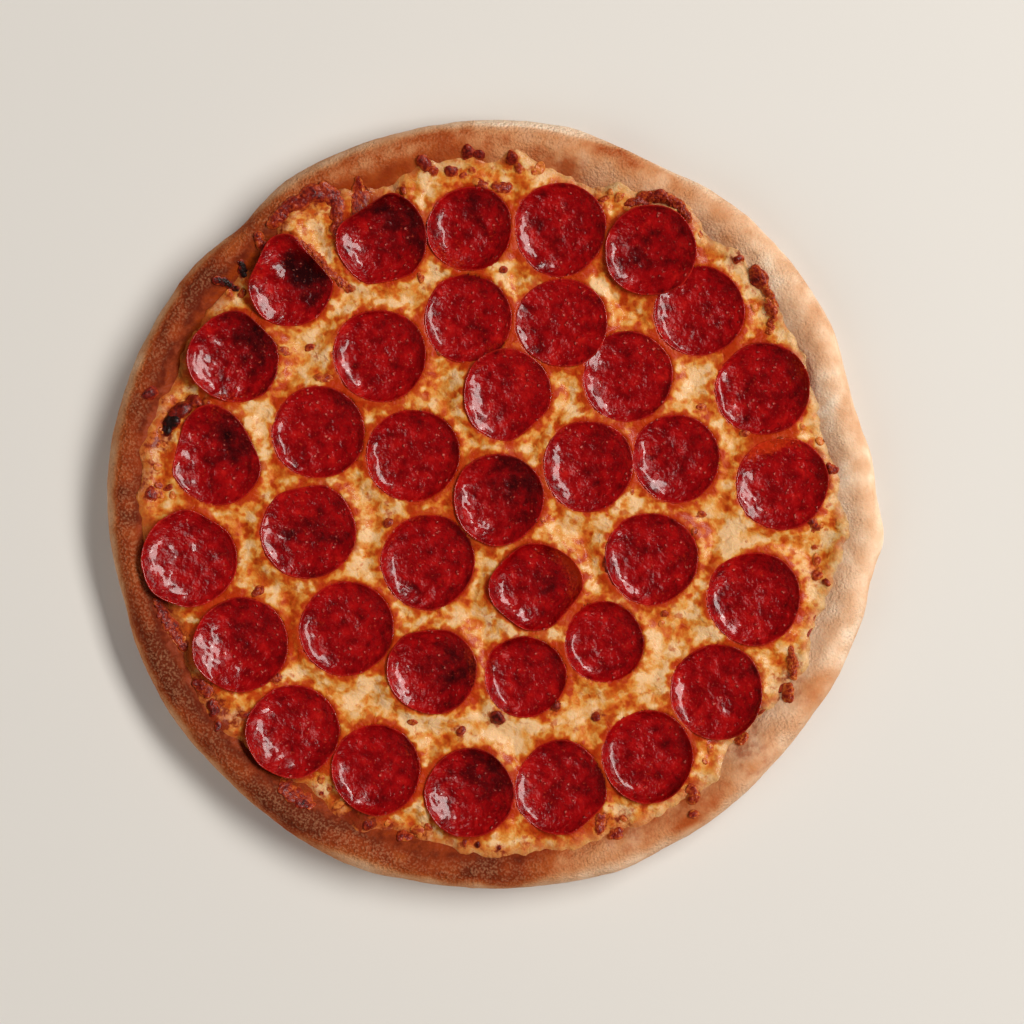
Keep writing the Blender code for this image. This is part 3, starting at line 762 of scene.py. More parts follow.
# Browned bits, in millimetres: x, y, half length, half width, direction in degrees, height, and char from 0,
# golden, to 1, black.
BROWNED = [
    (-31.5, 157.0, 3.6, 3.0, 100, 2.4, 0.55), (-19.0, 153.3, 3.2, 2.3, 0, 1.8, 0.5),
    (-11.6, 162.0, 3.7, 3.0, 100, 2.2, 0.6), (-6.3, 160.2, 2.6, 2.4, 0, 2.0, 0.55),
    (8.8, 159.7, 3.5, 2.9, 115, 2.4, 0.55), (11.8, 154.8, 2.4, 1.9, 100, 1.6, 0.35),
    (5.5, 145.8, 4.2, 2.4, 20, 1.8, 0.45), (-5.0, 146.8, 3.4, 2.0, 160, 1.4, 0.35),
    (-46.0, 140.2, 2.3, 1.9, 150, 1.4, 0.95),
    (-142.5, 43.5, 6.6, 4.6, 42, 3.2, 0.64), (-147.5, 38.5, 4.8, 3.8, 60, 3.0, 1.0),
    (-149.5, 34.5, 3.4, 2.6, 70, 2.2, 1.0), (-137.0, 47.5, 3.8, 3.4, 0, 2.6, 0.5),
    (-132.0, 46.5, 2.8, 2.4, 0, 2.0, 0.35),
    (-156.5, 51.0, 4.0, 3.4, 20, 2.4, 0.72), (-157.0, 5.0, 3.4, 2.8, 90, 1.8, 0.55),
    (-153.0, 9.0, 2.0, 1.7, 0, 1.6, 0.3), (-133.0, -84.0, 4.6, 1.8, 118, 1.5, 0.5),
    (-128.0, -93.0, 3.8, 1.8, 100, 1.6, 0.6), (-126.0, -101.0, 2.4, 1.6, 80, 1.5, 0.6),
    (-92.0, -132.0, 6.4, 2.4, -35, 1.8, 0.45), (-87.0, -136.5, 4.0, 1.8, -40, 1.6, 0.6),
    (-57.0, -147.0, 2.1, 2.4, 0, 2.0, 0.6), (-41.0, -151.8, 3.0, 1.6, 160, 1.4, 0.4),
    (-7.0, -156.0, 1.6, 1.3, 0, 1.4, 0.8), (3.0, -157.5, 1.3, 1.2, 0, 1.2, 0.6),
    (49.5, -146.0, 4.4, 1.7, 80, 1.6, 0.35), (56.0, -151.0, 3.0, 1.6, 20, 1.4, 0.4),
    (91.5, -132.5, 3.6, 1.8, 60, 1.6, 0.35), (92.0, -141.5, 2.2, 1.7, 0, 1.5, 0.45),
    (135.5, -85.5, 1.7, 4.4, -10, 1.5, 0.35), (114.5, -107.0, 3.6, 1.6, 30, 1.4, 0.3),
    (148.8, -32.0, 2.6, 2.4, 0, 2.0, 0.3), (153.0, -35.5, 2.2, 1.5, -30, 1.6, 0.45),
    (147.0, -9.5, 3.0, 2.0, -60, 1.9, 0.45),
    (142.0, -6.0, 2.4, 1.8, -60, 1.5, 0.4), (141.0, 27.5, 2.8, 2.2, 0, 1.6, 0.3),
    (133.0, 30.0, 2.2, 1.6, -30, 1.4, 0.3), (155.8, 17.0, 2.8, 1.4, -40, 1.5, 0.45),
    (121.5, 104.2, 2.4, 4.8, 25, 1.9, 0.45), (112.5, 112.6, 2.4, 2.0, 0, 1.8, 0.5),
    (128.0, 90.5, 2.2, 3.8, 25, 1.6, 0.35), (50.5, 140.0, 2.6, 1.6, 60, 1.4, 0.3),
    (47.2, -97.2, 2.6, 2.1, 20, 1.8, 0.6), (28.9, -92.6, 2.8, 2.4, 0, 1.8, 0.55),
    (2.0, -98.0, 3.4, 2.9, 0, 2.0, 0.7), (-15.3, -104.0, 2.6, 2.0, 30, 1.6, 0.45),
    (-84.0, 73.0, 2.4, 1.5, 40, 1.2, 0.35), (-96.5, 71.0, 2.6, 1.4, 0, 1.2, 0.3),
    (-77.5, 58.5, 3.8, 1.6, 0, 1.2, 0.3), (4.5, 108.3, 2.1, 1.7, 0, 1.4, 0.45),
    (-33.0, 104.5, 2.6, 1.8, 100, 1.3, 0.3), (-24.0, 70.5, 2.2, 1.6, 60, 1.2, 0.3),
    (52.5, -27.0, 1.3, 3.4, 15, 1.2, 0.6), (96.0, -4.0, 2.4, 1.6, 0, 1.2, 0.3),
    (93.0, -12.0, 2.2, 1.5, 60, 1.2, 0.35), (116.0, 33.0, 2.2, 1.8, 0, 1.3, 0.35),
    (-48.0, -8.0, 2.6, 1.8, 40, 1.3, 0.4), (-108.0, -40.0, 2.6, 1.7, 60, 1.4, 0.4),
    (-99.0, -79.0, 2.8, 1.8, 30, 1.4, 0.4), (-37.0, -100.0, 2.2, 1.6, 0, 1.2, 0.3),
    (79.0, -50.0, 2.2, 1.6, 0, 1.2, 0.35), (96.0, 45.0, 2.2, 1.6, 0, 1.2, 0.3),
]
# Browned ridges and folds of cheese: char, height, and the line they follow as x, y and half width.
RIDGES = [
    (0.50, 1.7, [(-100.5, 130, 1.9), (-93, 137, 2.3), (-86, 139.5, 2.6), (-81.5, 143, 2.9), (-76, 143, 2.9),
                 (-72, 138, 2.6), (-71, 131, 2.2), (-72, 124.5, 1.7)]),
    (0.45, 0.9, [(-61.8, 149, 0.9), (-61.5, 144, 2.1), (-61, 138, 3.2), (-61, 131, 3.2)]),
    (0.33, 1.6, [(-92.5, 121.5, 1.2), (-84, 117.5, 1.4), (-75, 107, 1.5), (-66, 99, 1.1)]),
    (0.45, 1.9, [(-108, 123.5, 1.8), (-105, 118, 1.9), (-103.5, 113, 1.5)]),
    (0.95, 0.8, [(-115.5, 111, 0.9), (-114.3, 106, 1.3)]),
    (0.95, 0.8, [(-126, 103.5, 1.3), (-122, 101.5, 0.9), (-117.5, 99.5, 0.8)]),
    (0.50, 1.5, [(-154, -44, 1.1), (-150, -52, 1.7), (-145, -60, 1.7), (-142, -66, 1.2)]),
    (0.42, 1.6, [(62, 138, 1.3), (70, 141, 1.8), (79, 141, 1.6), (86, 137, 1.8), (90, 131, 1.2)]),
    (0.30, 1.5, [(137.5, -79, 1.1), (138, -73, 1.8), (137, -67, 1.3)]),
    (0.30, 1.3, [(124, 101, 1.0), (127.5, 94, 1.4), (129, 87, 1.1), (127, 80, 1.2)]),
    (0.35, 1.2, [(-96, -128, 1.6), (-90, -133, 2.0), (-83, -137, 1.4)]),
]
# Small bits strewn at random: how many, the share of them between the slices, where those are, the mean and
# spread of the ring of the others and its limit, and their half widths, all in millimetres.
SMALL_BITS = 50
INSIDE_SHARE, INSIDE_RINGS = 0.15, (20, 140)
RIM_RING, RIM_SPREAD, RIM_LIMIT = 152.5, 4.0, 156.5
SMALL_SIZES = (0.9, 2.1)
LUMP_SPACING, LUMP_LENGTH, LUMP_ASIDE, LUMP_TURN = 0.42, 1.4, 0.25, 30.0


def clear_of_slices(x, y, room):
    """Whether a place is at least that far outside every slice."""
    for form in slices.values():
        east, north = x - form.middle[0], y - form.middle[1]
        if math.hypot(east, north) < form.outline(math.atan2(north, east)) + room:
            return False
    return True


def run_of_lumps(line, tall, char, rng):
    """Long lumps along a line of places, each less than half a half width from the last, a little off it."""
    x, y, wide = np.array(line, float).T
    gone = np.concatenate([[0.0], np.cumsum(np.hypot(np.diff(x), np.diff(y)))])
    found = []
    for at in np.arange(0.0, gone[-1] + 0.01, LUMP_SPACING * wide.mean()):
        size = np.interp(at, gone, wide) * rng.uniform(0.8, 1.25)
        aside = rng.normal(0.0, LUMP_ASIDE, 2) * size
        spot = (np.interp(at, gone, x) + aside[0], np.interp(at, gone, y) + aside[1])
        ahead = np.interp(at + 1.0, gone, x) - np.interp(at - 1.0, gone, x)
        aloft = np.interp(at + 1.0, gone, y) - np.interp(at - 1.0, gone, y)
        turn = math.degrees(math.atan2(aloft, ahead)) + rng.normal(0.0, LUMP_TURN)
        lump = (*spot, size * LUMP_LENGTH, size, turn)
        found.append((*lump, tall * rng.uniform(0.8, 1.0), char * rng.uniform(0.8, 1.2)))
    return found


def all_bits():
    """The named bits, long ones as runs of lumps, and small ones scattered along the cheese's edge."""
    rng = np.random.default_rng(29)
    found = []
    for x, y, half_long, half_wide, turn, tall, char in BROWNED:
        if half_wide > half_long:
            half_long, half_wide, turn = half_wide, half_long, turn + 90
        if half_long < 1.5 * half_wide:
            found.append((x, y, half_long, half_wide, turn, tall, char))
            continue
        east, north = math.cos(math.radians(turn)), math.sin(math.radians(turn))
        half = half_long - half_wide
        line = [(x + side * half * east, y + side * half * north, half_wide) for side in (-1, 1)]
        found += run_of_lumps(line, tall, char, rng)
    for char, tall, line in RIDGES:
        found += run_of_lumps(line, tall, char, rng)
    named = len(found)
    while len(found) < named + SMALL_BITS:
        angle = rng.uniform(0.0, TURN)
        inside = rng.random() < INSIDE_SHARE
        ring = rng.uniform(*INSIDE_RINGS) if inside else rng.normal(RIM_RING, RIM_SPREAD)
        size = rng.uniform(*SMALL_SIZES) * (0.75 if inside else 1.0)
        x, y = ring * math.cos(angle), ring * math.sin(angle)
        char = rng.uniform(0.0, 0.25 + 0.25 * (x < 0))
        turn = rng.uniform(0.0, 180.0)
        if clear_of_slices(x * MM, y * MM, (size + 0.3) * MM) and ring < RIM_LIMIT:
            found.append((x, y, size * rng.uniform(1.0, 1.7), size, turn, size * 0.6, char))
    return np.array(found)


bits = all_bits()


# The cheese's ragged edge and its relief: rows of height, size in millimetres, seed and number of layers.
CHEESE_RAGGED_RING = 155 * MM
CHEESE_RAGGED = [(2.3, 12, 81, 3), (0.8, 3.5, 85, 1)]
CHEESE_OUTREACH = 0.3
CHEESE_LUMPS = [(0.45, 11, 91, 2), (0.36, 4.6, 95, 1), (0.16, 2.4, 97, 1)]
CHEESE_CREASES = [(1.0, 6.5, 99, 1)]
CREASES_START, CREASES_FADE = 143 * MM, 12 * MM
MEAN_RELIEF = 0.25
# How the layer thins out to its edge, and how deep that is set in the crust's skin.
EDGE_SET, EDGE_TAPER, LEAST_TAPER = 1.1 * MM, 15 * MM, 0.06
LEAST_CHEESE, LAID_WITHIN = 0.35 * MM, 5 * MM
# How far round a slice the cheese climbs to it, how high at most, and how far its oil spreads; how far under
# a slice it stays, from how far inside the slice's edge, and the least that is left of it there.
NEAR_SLICE, CLIMB_REACH, MOST_CLIMB, OIL_REACH = 14 * MM, 7.5 * MM, 4.2 * MM, 2.5 * MM
UNDER_SLICE, INSIDE_EDGE, LEAST_LEFT = 0.08 * MM, 0.5 * MM, 0.1 * MM


def cheese_rim(angle):
    """The solid's edge made ragged, with tongues drawn out over the crust."""
    ragged = relief_of(round_middle(CHEESE_RAGGED_RING, angle, 0.0), CHEESE_RAGGED) + CHEESE_OUTREACH
    for direction, half_width, length in TONGUES:
        ragged = ragged + length * near_angle(angle, direction, half_width)
    return cheese_edge(angle) + ragged * MM


def cheese_base(reach, angle, from_edge):
    """The sauce's top and a hair's gap, which dips into the dough's skin within 5 mm of the edge."""
    ring = true_ring(reach, angle)
    laid = sauce_top(ring, angle) + 0.3 * SAUCE_GAP
    skin = raised(slope_height(ring), angle) - EDGE_SET
    return skin + (laid - skin) * ease(from_edge / LAID_WITHIN)


def cheese_relief(x, y):
    """The cheese's own relief in millimetres: swells, lumps and shreds, and creases that rise to the rim."""
    place = np.stack([x, y, 0 * x], axis=-1)
    near_rim = ease((np.hypot(x, y) - CREASES_START) / CREASES_FADE)
    creases = (0.5 + 0.5 * near_rim) * np.abs(relief_of(place, CHEESE_CREASES))
    return relief_of(place, CHEESE_LUMPS) + creases - MEAN_RELIEF


def cheese_surface(x, y):
    """The layer's height, drawn up to each slice and pressed down under it, and the oil that slices shed."""
    reach, angle = np.hypot(x, y), np.arctan2(y, x)
    from_edge = (1.0 - reach / cheese_rim(angle)) * CHEESE_RADIUS
    base = cheese_base(reach, angle, from_edge)
    taper = LEAST_TAPER + (1.0 - LEAST_TAPER) * ease(from_edge / EDGE_TAPER)
    height = cheese_top(reach, angle) + cheese_relief(x, y) * MM
    height = base + np.maximum(height - base, LEAST_CHEESE) * taper
    oil = np.zeros_like(height)
    lift = np.zeros_like(height)
    ceiling = np.full_like(height, np.inf)
    for form in slices.values():
        east, north = x - form.middle[0], y - form.middle[1]
        near = np.hypot(east, north) < form.radius + NEAR_SLICE
        turn, out = np.arctan2(north[near], east[near]), np.hypot(east[near], north[near])
        edge = form.edge(turn)
        beyond = np.maximum(out - edge, 0.0)
        climb = np.clip(form.underside(1.0, turn) + RIM_BEDDED - height[near], 0.0, MOST_CLIMB)
        lift[near] = np.maximum(lift[near], climb * np.exp(-((beyond / CLIMB_REACH) ** 2)))
        under = form.underside(np.minimum(out / edge, 1.0), turn) - UNDER_SLICE
        ceiling[near] = np.minimum(ceiling[near], np.where(out < edge - INSIDE_EDGE, under, np.inf))
        oil[near] += np.exp(-beyond / OIL_REACH)
    return np.maximum(np.minimum(height + lift * taper, ceiling), base + LEAST_LEFT), oil


# How the cheese browned: mottling of toast and of pale pools, and the margin along the crust that browned
# with it and takes its tone; the rings of its underside, as shares of its edge.
TOAST_MOTTLE = [(0.30, 9, 101, 3)]
PALE_MOTTLE = [(0.45, 10, 105, 3)]
MARGIN_START, MARGIN_WIDTH, CRUSTY_WIDTH = 144 * MM, 14 * MM, 7 * MM
MARGIN_TOAST, MARGIN_PALE, MEAN_TOAST, MEAN_PALE = 0.75, 0.6, 0.08, 0.15
UNDERSIDE_SHARES = np.array([1.0, 0.985, 0.965, 0.945, 0.92, 0.89, 0.5])[:, None]
UNDERSIDE_DROP = 0.05 * MM
HALO_SPREAD = 1.3


def make_cheese():
    """The bent grid at the height of the surface, with an underside that dips into the crust's skin."""
    share, angle = bent_square(CHEESE_GRID)
    reach = share * cheese_rim(angle)
    x, y = reach * np.cos(angle), reach * np.sin(angle)
    height, oil = cheese_surface(x, y)
    place = np.stack([x, y, 0 * x], axis=-1)
    relief = cheese_relief(x, y)

    margin = ease((reach - MARGIN_START) / MARGIN_WIDTH) * crust_bake(angle)
    toast = relief_of(place, TOAST_MOTTLE) + MARGIN_TOAST * margin - MEAN_TOAST + spots_of(place, TOASTED)
    pale = relief_of(place, PALE_MOTTLE) + 0.3 * relief - MARGIN_PALE * margin + MEAN_PALE
    pale += spots_of(place, PALE)
    halo = np.zeros_like(toast)
    for spot_x, spot_y, half_long, half_wide, _, _, char in bits:
        spread = 0.5 * (half_long + half_wide) + HALO_SPREAD
        halo = np.maximum(halo, (0.35 + 0.4 * char) * hump(place, spot_x, spot_y, spread))
    place[..., 2] = height
    lower, rim_angle = border_of(reach)[None, :] * UNDERSIDE_SHARES, border_of(angle)[None, :]
    level = cheese_base(lower, rim_angle, (1.0 - UNDERSIDE_SHARES) * CHEESE_RADIUS) - UNDERSIDE_DROP
    under = round_middle(lower, rim_angle, level)
    thin = 1.0 - ease((1.0 - share) * CHEESE_RADIUS / CRUSTY_WIDTH)
    bake = crust_bake(angle)
    values = {"oil": oil - 0.25 * relief, "toast": toast + halo, "pale": pale, "thin": thin, "bake": bake}
    return bent_disc_mesh("melted_cheese_layer", place, under, values)


# The cheese's colours: from oily orange to cream pools, and those of its thin edge by how the crust baked.
CHEESE_TONES = [(0.20, (176, 58, 12)), (0.30, (200, 92, 24)), (0.39, (214, 126, 44)), (0.47, (222, 156, 78)),
                (0.60, (236, 190, 138))]
CRUSTY_TONES = [(0.18, (230, 178, 128)), (0.50, (212, 140, 82)), (0.80, (176, 88, 38))]
FLECK_COLOUR = paint(196, 90, 28)
SPOT_COLOUR = paint(188, 84, 28)
CHEESE_OIL_COLOUR = paint(180, 46, 6)
TOAST_COLOUR = paint(184, 74, 22)
DARK_TOAST_COLOUR = paint(120, 28, 12)


def cheese_finish():
    """Melted mozzarella: cream pools, rusty spots, orange where oil has run, toasted brown in places."""
    cheese = Finish("melted_cheese")
    fine = cheese.noise(2.6 * MM, 2.5, 0.55)
    pale = cheese.between(cheese.value("pale"), -0.6, 1.2, -0.09, 0.13)
    soft = cheese.between(cheese.noise(3.6 * MM, 1.0, 0.4), 0.3, 0.7, -0.35, 0.35)
    oil = cheese.sum("SUBTRACT", cheese.sum("ADD", cheese.value("oil"), soft), pale)
    pools = cheese.sum("ADD", cheese.noise(8 * MM, 3.0, 0.5, 0.3), pale)
    pools = cheese.sum("SUBTRACT", pools, cheese.between(oil, 0.05, 0.9, 0.0, 0.22))
    colour = cheese.ramp(pools, CHEESE_TONES)
    flecks = cheese.sum("SUBTRACT", fine, cheese.between(pools, 0.45, 0.68, 0.0, 0.09))
    colour = cheese.mixed(cheese.between(flecks, 0.53, 0.68, 0.0, 0.5), colour, FLECK_COLOUR)
    spots = cheese.sum("ADD", cheese.cells(8 * MM), cheese.between(fine, 0.3, 0.7, 0.12, -0.12))
    rare = cheese.between(cheese.noise(19 * MM, 1.0), 0.46, 0.54, 0.0, 0.75)
    spots = cheese.sum("MULTIPLY", cheese.between(spots, 0.30, 0.12), rare)
    colour = cheese.mixed(spots, colour, SPOT_COLOUR)
    colour = cheese.mixed(cheese.between(oil, 0.45, 1.15, 0.0, 0.85), colour, CHEESE_OIL_COLOUR)
    toast = cheese.sum("ADD", cheese.value("toast"), cheese.between(fine, 0.3, 0.75, -0.35, 0.35))
    colour = cheese.mixed(cheese.between(toast, 0.30, 0.8, 0.0, 0.7), colour, TOAST_COLOUR)
    thin = cheese.sum("MULTIPLY", cheese.value("thin"), cheese.between(fine, 0.35, 0.65, 0.95, 0.5))
    colour = cheese.mixed(thin, colour, cheese.ramp(cheese.value("bake"), CRUSTY_TONES))
    colour = cheese.mixed(cheese.between(toast, 0.72, 1.15, 0.0, 0.85), colour, DARK_TOAST_COLOUR)
    bump = cheese.bumped(cheese.noise(1.6 * MM, 2.0, 0.5, 0.5), 0.30 * MM)
    bump = cheese.bumped(cheese.noise(4.0 * MM, 2.0, 0.5, 0.8), 0.9 * MM, bump)
    return cheese.done(
        Base_Color=colour,
        Roughness=cheese.between(fine, 0.3, 0.7, 0.36, 0.5),
        Normal=bump,
        Specular_IOR_Level=0.12,
        Subsurface_Weight=0.2,
        Subsurface_Radius=(1.0, 0.45, 0.15),
        Subsurface_Scale=0.004,
        Coat_Weight=0.1,
        Coat_Roughness=0.1,
    )


piece("melted_cheese_layer", make_cheese(), cheese_finish(), "melted_cheese", "melted_cheese")


# The browned bits: blisters of cheese that rose along the rim and between slices, and caught in the oven.
# They go from golden to glossy red-brown and black char. Each is a lumpy dome on what it grew from.
BIT_ROWS = 10
BIT_AROUND = 16
BIT_SPREAD = 1.25
# On a bit of unit size: how ragged its outline is and how lumpy its dome, how far the dome is set in the
# cheese, and the heights of its foot and of the point under it.
BIT_RAGGED, BIT_LUMPY = 0.45, 0.22
BIT_SET, BIT_FOOT, BIT_POINT = 0.15, -0.3, -0.5
CRISP_TONES = [(0.05, (208, 118, 48)), (0.25, (176, 64, 22)), (0.50, (128, 26, 14)), (0.75, (80, 12, 8)),
               (0.96, (30, 14, 11))]


def make_bits():
    """Every bit at once: rings of a dome, stretched, turned and roughened, and seated on the cheese."""
    x, y, half_long, half_wide, turn, tall, char = (column[:, None, None] for column in bits.T)
    out = np.linspace(BIT_SPREAD, 0.0, BIT_ROWS + 1)[None, :-1, None]
    around = np.linspace(0.0, TURN, BIT_AROUND, endpoint=False)[None, None, :]
    unit = (round_middle(out, around, 0.0) + np.zeros((len(bits), 1, 1, 3))).reshape(len(bits), -1, 1, 3)
    shape = np.concatenate([unit, np.zeros((len(bits), 2, 1, 3))], axis=1)
    seat = np.stack([x, y, 0 * x], axis=-1) * 3.0
    away = np.linalg.norm(shape, axis=-1) * (1.0 + BIT_RAGGED * lumps(shape * 1.1 + seat, 1.0, 111))
    dome = np.sqrt(np.clip(1.0 - away**2, 0.0, 1.0))
    rise = dome * (1.0 + BIT_LUMPY * lumps(shape * 2.2 + seat, 1.0, 112)) - BIT_SET
    rise[:, :BIT_AROUND] = BIT_FOOT
    rise[:, -2] = BIT_POINT
    east, north = shape[..., 0] * half_long, shape[..., 1] * half_wide
    cosine, sine = np.cos(np.radians(turn)), np.sin(np.radians(turn))
    px = (x + east * cosine - north * sine) * MM
    py = (y + east * sine + north * cosine) * MM
    reach, angle = np.hypot(px, py), np.arctan2(py, px)
    crust = raised(slope_height(true_ring(reach, angle)), angle)
    pz = np.maximum(cheese_surface(px, py)[0], crust) + rise * tall * MM
    points = np.stack([px, py, pz], axis=-1).reshape(-1, 3)

    quads, fans = closed_faces(BIT_ROWS, BIT_AROUND)
    start = np.arange(len(bits))[:, None, None] * (BIT_ROWS * BIT_AROUND + 2)
    faces = (quads + start).reshape(-1, 4).tolist() + (fans + start).reshape(-1, 3).tolist()
    burnt = char * (0.55 + 0.6 * np.clip(rise, 0.0, 1.0))
    return smooth_mesh("browned_bits", points, faces, {"char": burnt.ravel()})


def bits_finish():
    """Toasted cheese skin: orange at its foot, glossy red-brown, then near black where it burnt."""
    crisp = Finish("browned_cheese")
    char = crisp.sum("ADD", crisp.value("char"), crisp.between(crisp.noise(1.6 * MM), 0.3, 0.7, -0.18, 0.18))
    return crisp.done(
        Base_Color=crisp.ramp(char, CRISP_TONES),
        Roughness=0.42,
        Normal=crisp.bumped(crisp.noise(0.9 * MM, 2.0), 0.35 * MM),
        Specular_IOR_Level=0.25,
        Coat_Weight=0.12,
        Coat_Roughness=0.15,
    )


piece("browned_bits", make_bits(), bits_finish(), "melted_cheese")


# The pepperoni: cured sausage sliced thin, cupped by the oven's heat and wet with its own orange fat.
# Each slice keeps the outline, lean and curl of its solid; a rolled rim, an uneven floor, wrinkles and
# the creases of the odd ones are worked into it.
SLICE_AROUND = 176
UNDERSIDE_ROWS = [0.35, 0.7, 0.9]
ROLL_ROWS, TOP_ROWS = 9, 45
SLICE_FLOOR = 1.15 * MM
SLICE_RIM = 1.45 * MM
LIP, LIP_SHARE = 0.30 * MM, 0.05
RIM_ROLL = 0.75 * MM
DEEPEST_RELIEF = 0.8
OVER_SAUCE = 0.7 * MM
SLICE_SWELLS = [(0.70, 11, 205, 1), (0.40, 5, 206, 1)]
SLICE_WRINKLES = [(0.15, 2.4, 207, 1), (0.07, 1.2, 208, 1)]
DARK_MOTTLE = [(0.12, 15, 211, 2)]
GREASE_MOTTLE = [(0.30, 8, 215, 3)]
GREASE_HALF_WIDTH = 50
# How much painted shade darkens a crease, for each millimetre of its groove's depth.
CREASE_PAINTED_SHADE = 0.9

# Creases: direction and offset from the middle, depth, width and half length, in degrees and millimetres.
CREASES = {
    "pepperoni_middle_11": [(-9, -2.0, 1.5, 2.4, 17)],
    "pepperoni_inner_04": [(-35, -14.0, 0.8, 1.6, 7)],
    "pepperoni_outer_11": [(-30, 15.0, 0.9, 1.8, 6)],
    "pepperoni_outer_19": [(-52, 5.0, 1.0, 3.5, 16)],
    "pepperoni_outer_17": [(-60, 8.0, 0.8, 3.0, 12)],
    "pepperoni_middle_05": [(70, -3.0, 0.4, 1.6, 12)],
    "pepperoni_inner_02": [(95, -4.0, 0.5, 2.0, 14)],
}
# Places on a slice painted darker, mostly painted shade on walls that face away from the lamp and partly
# scorch:
# direction, share of the radius, reach and strength.
SHADE_AND_SCORCH = {
    "pepperoni_outer_01": [(80, 0.75, 12, 1.0), (20, 0.8, 10, 0.9)],
    "pepperoni_outer_02": [(60, 0.6, 9, 0.7)],
    "pepperoni_outer_19": [(52, 0.50, 8, 1.3), (20, 0.62, 8, 1.1)],
    "pepperoni_outer_17": [(55, 0.75, 12, 0.8)],
    "pepperoni_outer_18": [(45, 0.80, 15, 1.2)],
    "pepperoni_outer_04": [(200, 0.25, 9, 0.9)],
    "pepperoni_outer_12": [(45, 0.70, 15, 1.0)],
    "pepperoni_outer_15": [(90, 0.4, 8, 0.5)],
    "pepperoni_inner_03": [(30, 0.25, 6, 0.9)],
    "pepperoni_inner_06": [(35, 0.75, 16, 1.0)],
    "pepperoni_middle_09": [(5, 0.45, 10, 1.0)],
    "pepperoni_middle_11": [(-10, 0.1, 8, 0.5)],
}
# Slices with orange fat pooled near the rim: direction and strength.
GREASED = {
    "pepperoni_outer_07": (110, 1.0),
    "pepperoni_inner_03": (20, 1.0),
    "pepperoni_outer_06": (30, 0.6),
    "pepperoni_outer_15": (200, 0.5),
    "pepperoni_middle_09": (10, 0.6),
    "pepperoni_outer_18": (250, 0.5),
}


def make_slice(node, number):
    """The underside, a half ellipse round the rim, and the top with its dish, lip, swells and wrinkles."""
    form = slices[node]
    turn = np.linspace(0.0, TURN, SLICE_AROUND, endpoint=False)[None, :]
    roll = RIM_ROLL / form.radius
    bend = np.linspace(-math.pi / 2.0, math.pi / 2.0, ROLL_ROWS)
    rolled = 1.0 - roll + roll * np.cos(bend)
    inward = (1.0 - roll) * (1.0 - np.linspace(0.0, 1.0, TOP_ROWS + 2)[1:-1] ** 1.15)
    share = np.concatenate([UNDERSIDE_ROWS, rolled, inward])[:, None]
    risen = 0.5 + 0.5 * np.sin(bend)
    top = np.concatenate([np.zeros(len(UNDERSIDE_ROWS)), risen, np.ones(TOP_ROWS)])[:, None]

    circle = form.circle(turn)
    reach = share * form.edge(turn)
    x = form.middle[0] + reach * np.cos(turn)
    y = form.middle[1] + reach * np.sin(turn)
    place = np.stack([x, y, 0 * x + 0.05 * number], axis=-1)

    thickness = SLICE_FLOOR + (SLICE_RIM - SLICE_FLOOR) * share**4
    lip = LIP * np.exp(-(((1.0 - share) / LIP_SHARE) ** 2)) * (0.6 + 0.6 * lumps(circle, 0.6, 203))
    relief = (relief_of(place, SLICE_SWELLS) - 0.25) * (1.0 - 0.75 * share**6)
    relief += relief_of(place, SLICE_WRINKLES)
    # How much deeper the slice's tone is: a mottle and a deeper middle of its own, with painted shade added
    # below in creases and on shaded walls.
    mottle_and_shade = relief_of(place, DARK_MOTTLE) + 0.15 * (1.0 - share**2)
    for direction, offset, depth, width, half_length in CREASES.get(node, []):
        line = math.radians(direction)
        east, north = (x - form.middle[0]) / MM, (y - form.middle[1]) / MM
        along = east * math.cos(line) + north * math.sin(line)
        across = north * math.cos(line) - east * math.sin(line) - offset
        groove = depth * np.exp(-((across / width) ** 2) - (along / half_length) ** 4)
        # Each groove is cut into the relief and darkened with painted shade, as a fold's valley in shadow
        # would be.
        relief, mottle_and_shade = relief - groove, mottle_and_shade + CREASE_PAINTED_SHADE * groove
    angle = np.arctan2(y, x)
    floor = sauce_top(true_ring(np.hypot(x, y), angle), angle) + OVER_SAUCE
    under = np.maximum(form.underside(share, turn), floor)
    z = under + top * (thickness + lip + np.maximum(relief, -DEEPEST_RELIEF) * MM)
    grid = np.stack([x, y, z], axis=-1)

    # Painted shade and scorch darken these places.
    for direction, out, across, strength in SHADE_AND_SCORCH.get(node, []):
        line = math.radians(direction)
        spot = form.middle + out * form.radius * np.array([math.cos(line), math.sin(line)])
        mottle_and_shade = mottle_and_shade + strength * hump(grid, *spot / MM, across)
    direction, strength = GREASED.get(node, (360.0 * lumps(circle[:, :1], 1.0, 213)[0, 0], 0.25))
    pooled = strength * near_angle(turn, direction, GREASE_HALF_WIDTH) * ease((share - 0.5) / 0.4)
    values = {"mottle_and_shade": mottle_and_shade, "grease": relief_of(place, GREASE_MOTTLE) + pooled, "rim": share + 0 * turn}
    low, high = (*form.middle, form.level), (*form.middle, z[-1].mean())
    return closed_mesh(node + "_slice", grid, low, high, values)


# The sausage's colours, from scorched to bright meat; its grains of fat, the fat pooled on it, its cut edge
# with a painted highlight, and pale dots that are partly beads of fat and partly painted glints.
MEAT_TONES = [(0.05, (44, 0, 2)), (0.25, (90, 0, 3)), (0.44, (137, 0, 4)), (0.60, (162, 4, 6)),
              (0.76, (190, 22, 16))]
FAT_COLOUR = paint(212, 78, 50)
GREASE_COLOUR = paint(210, 60, 12)
RIM_HIGHLIGHT_COLOUR = paint(192, 44, 24)
GLINT_SPECK_COLOUR = paint(226, 122, 104)


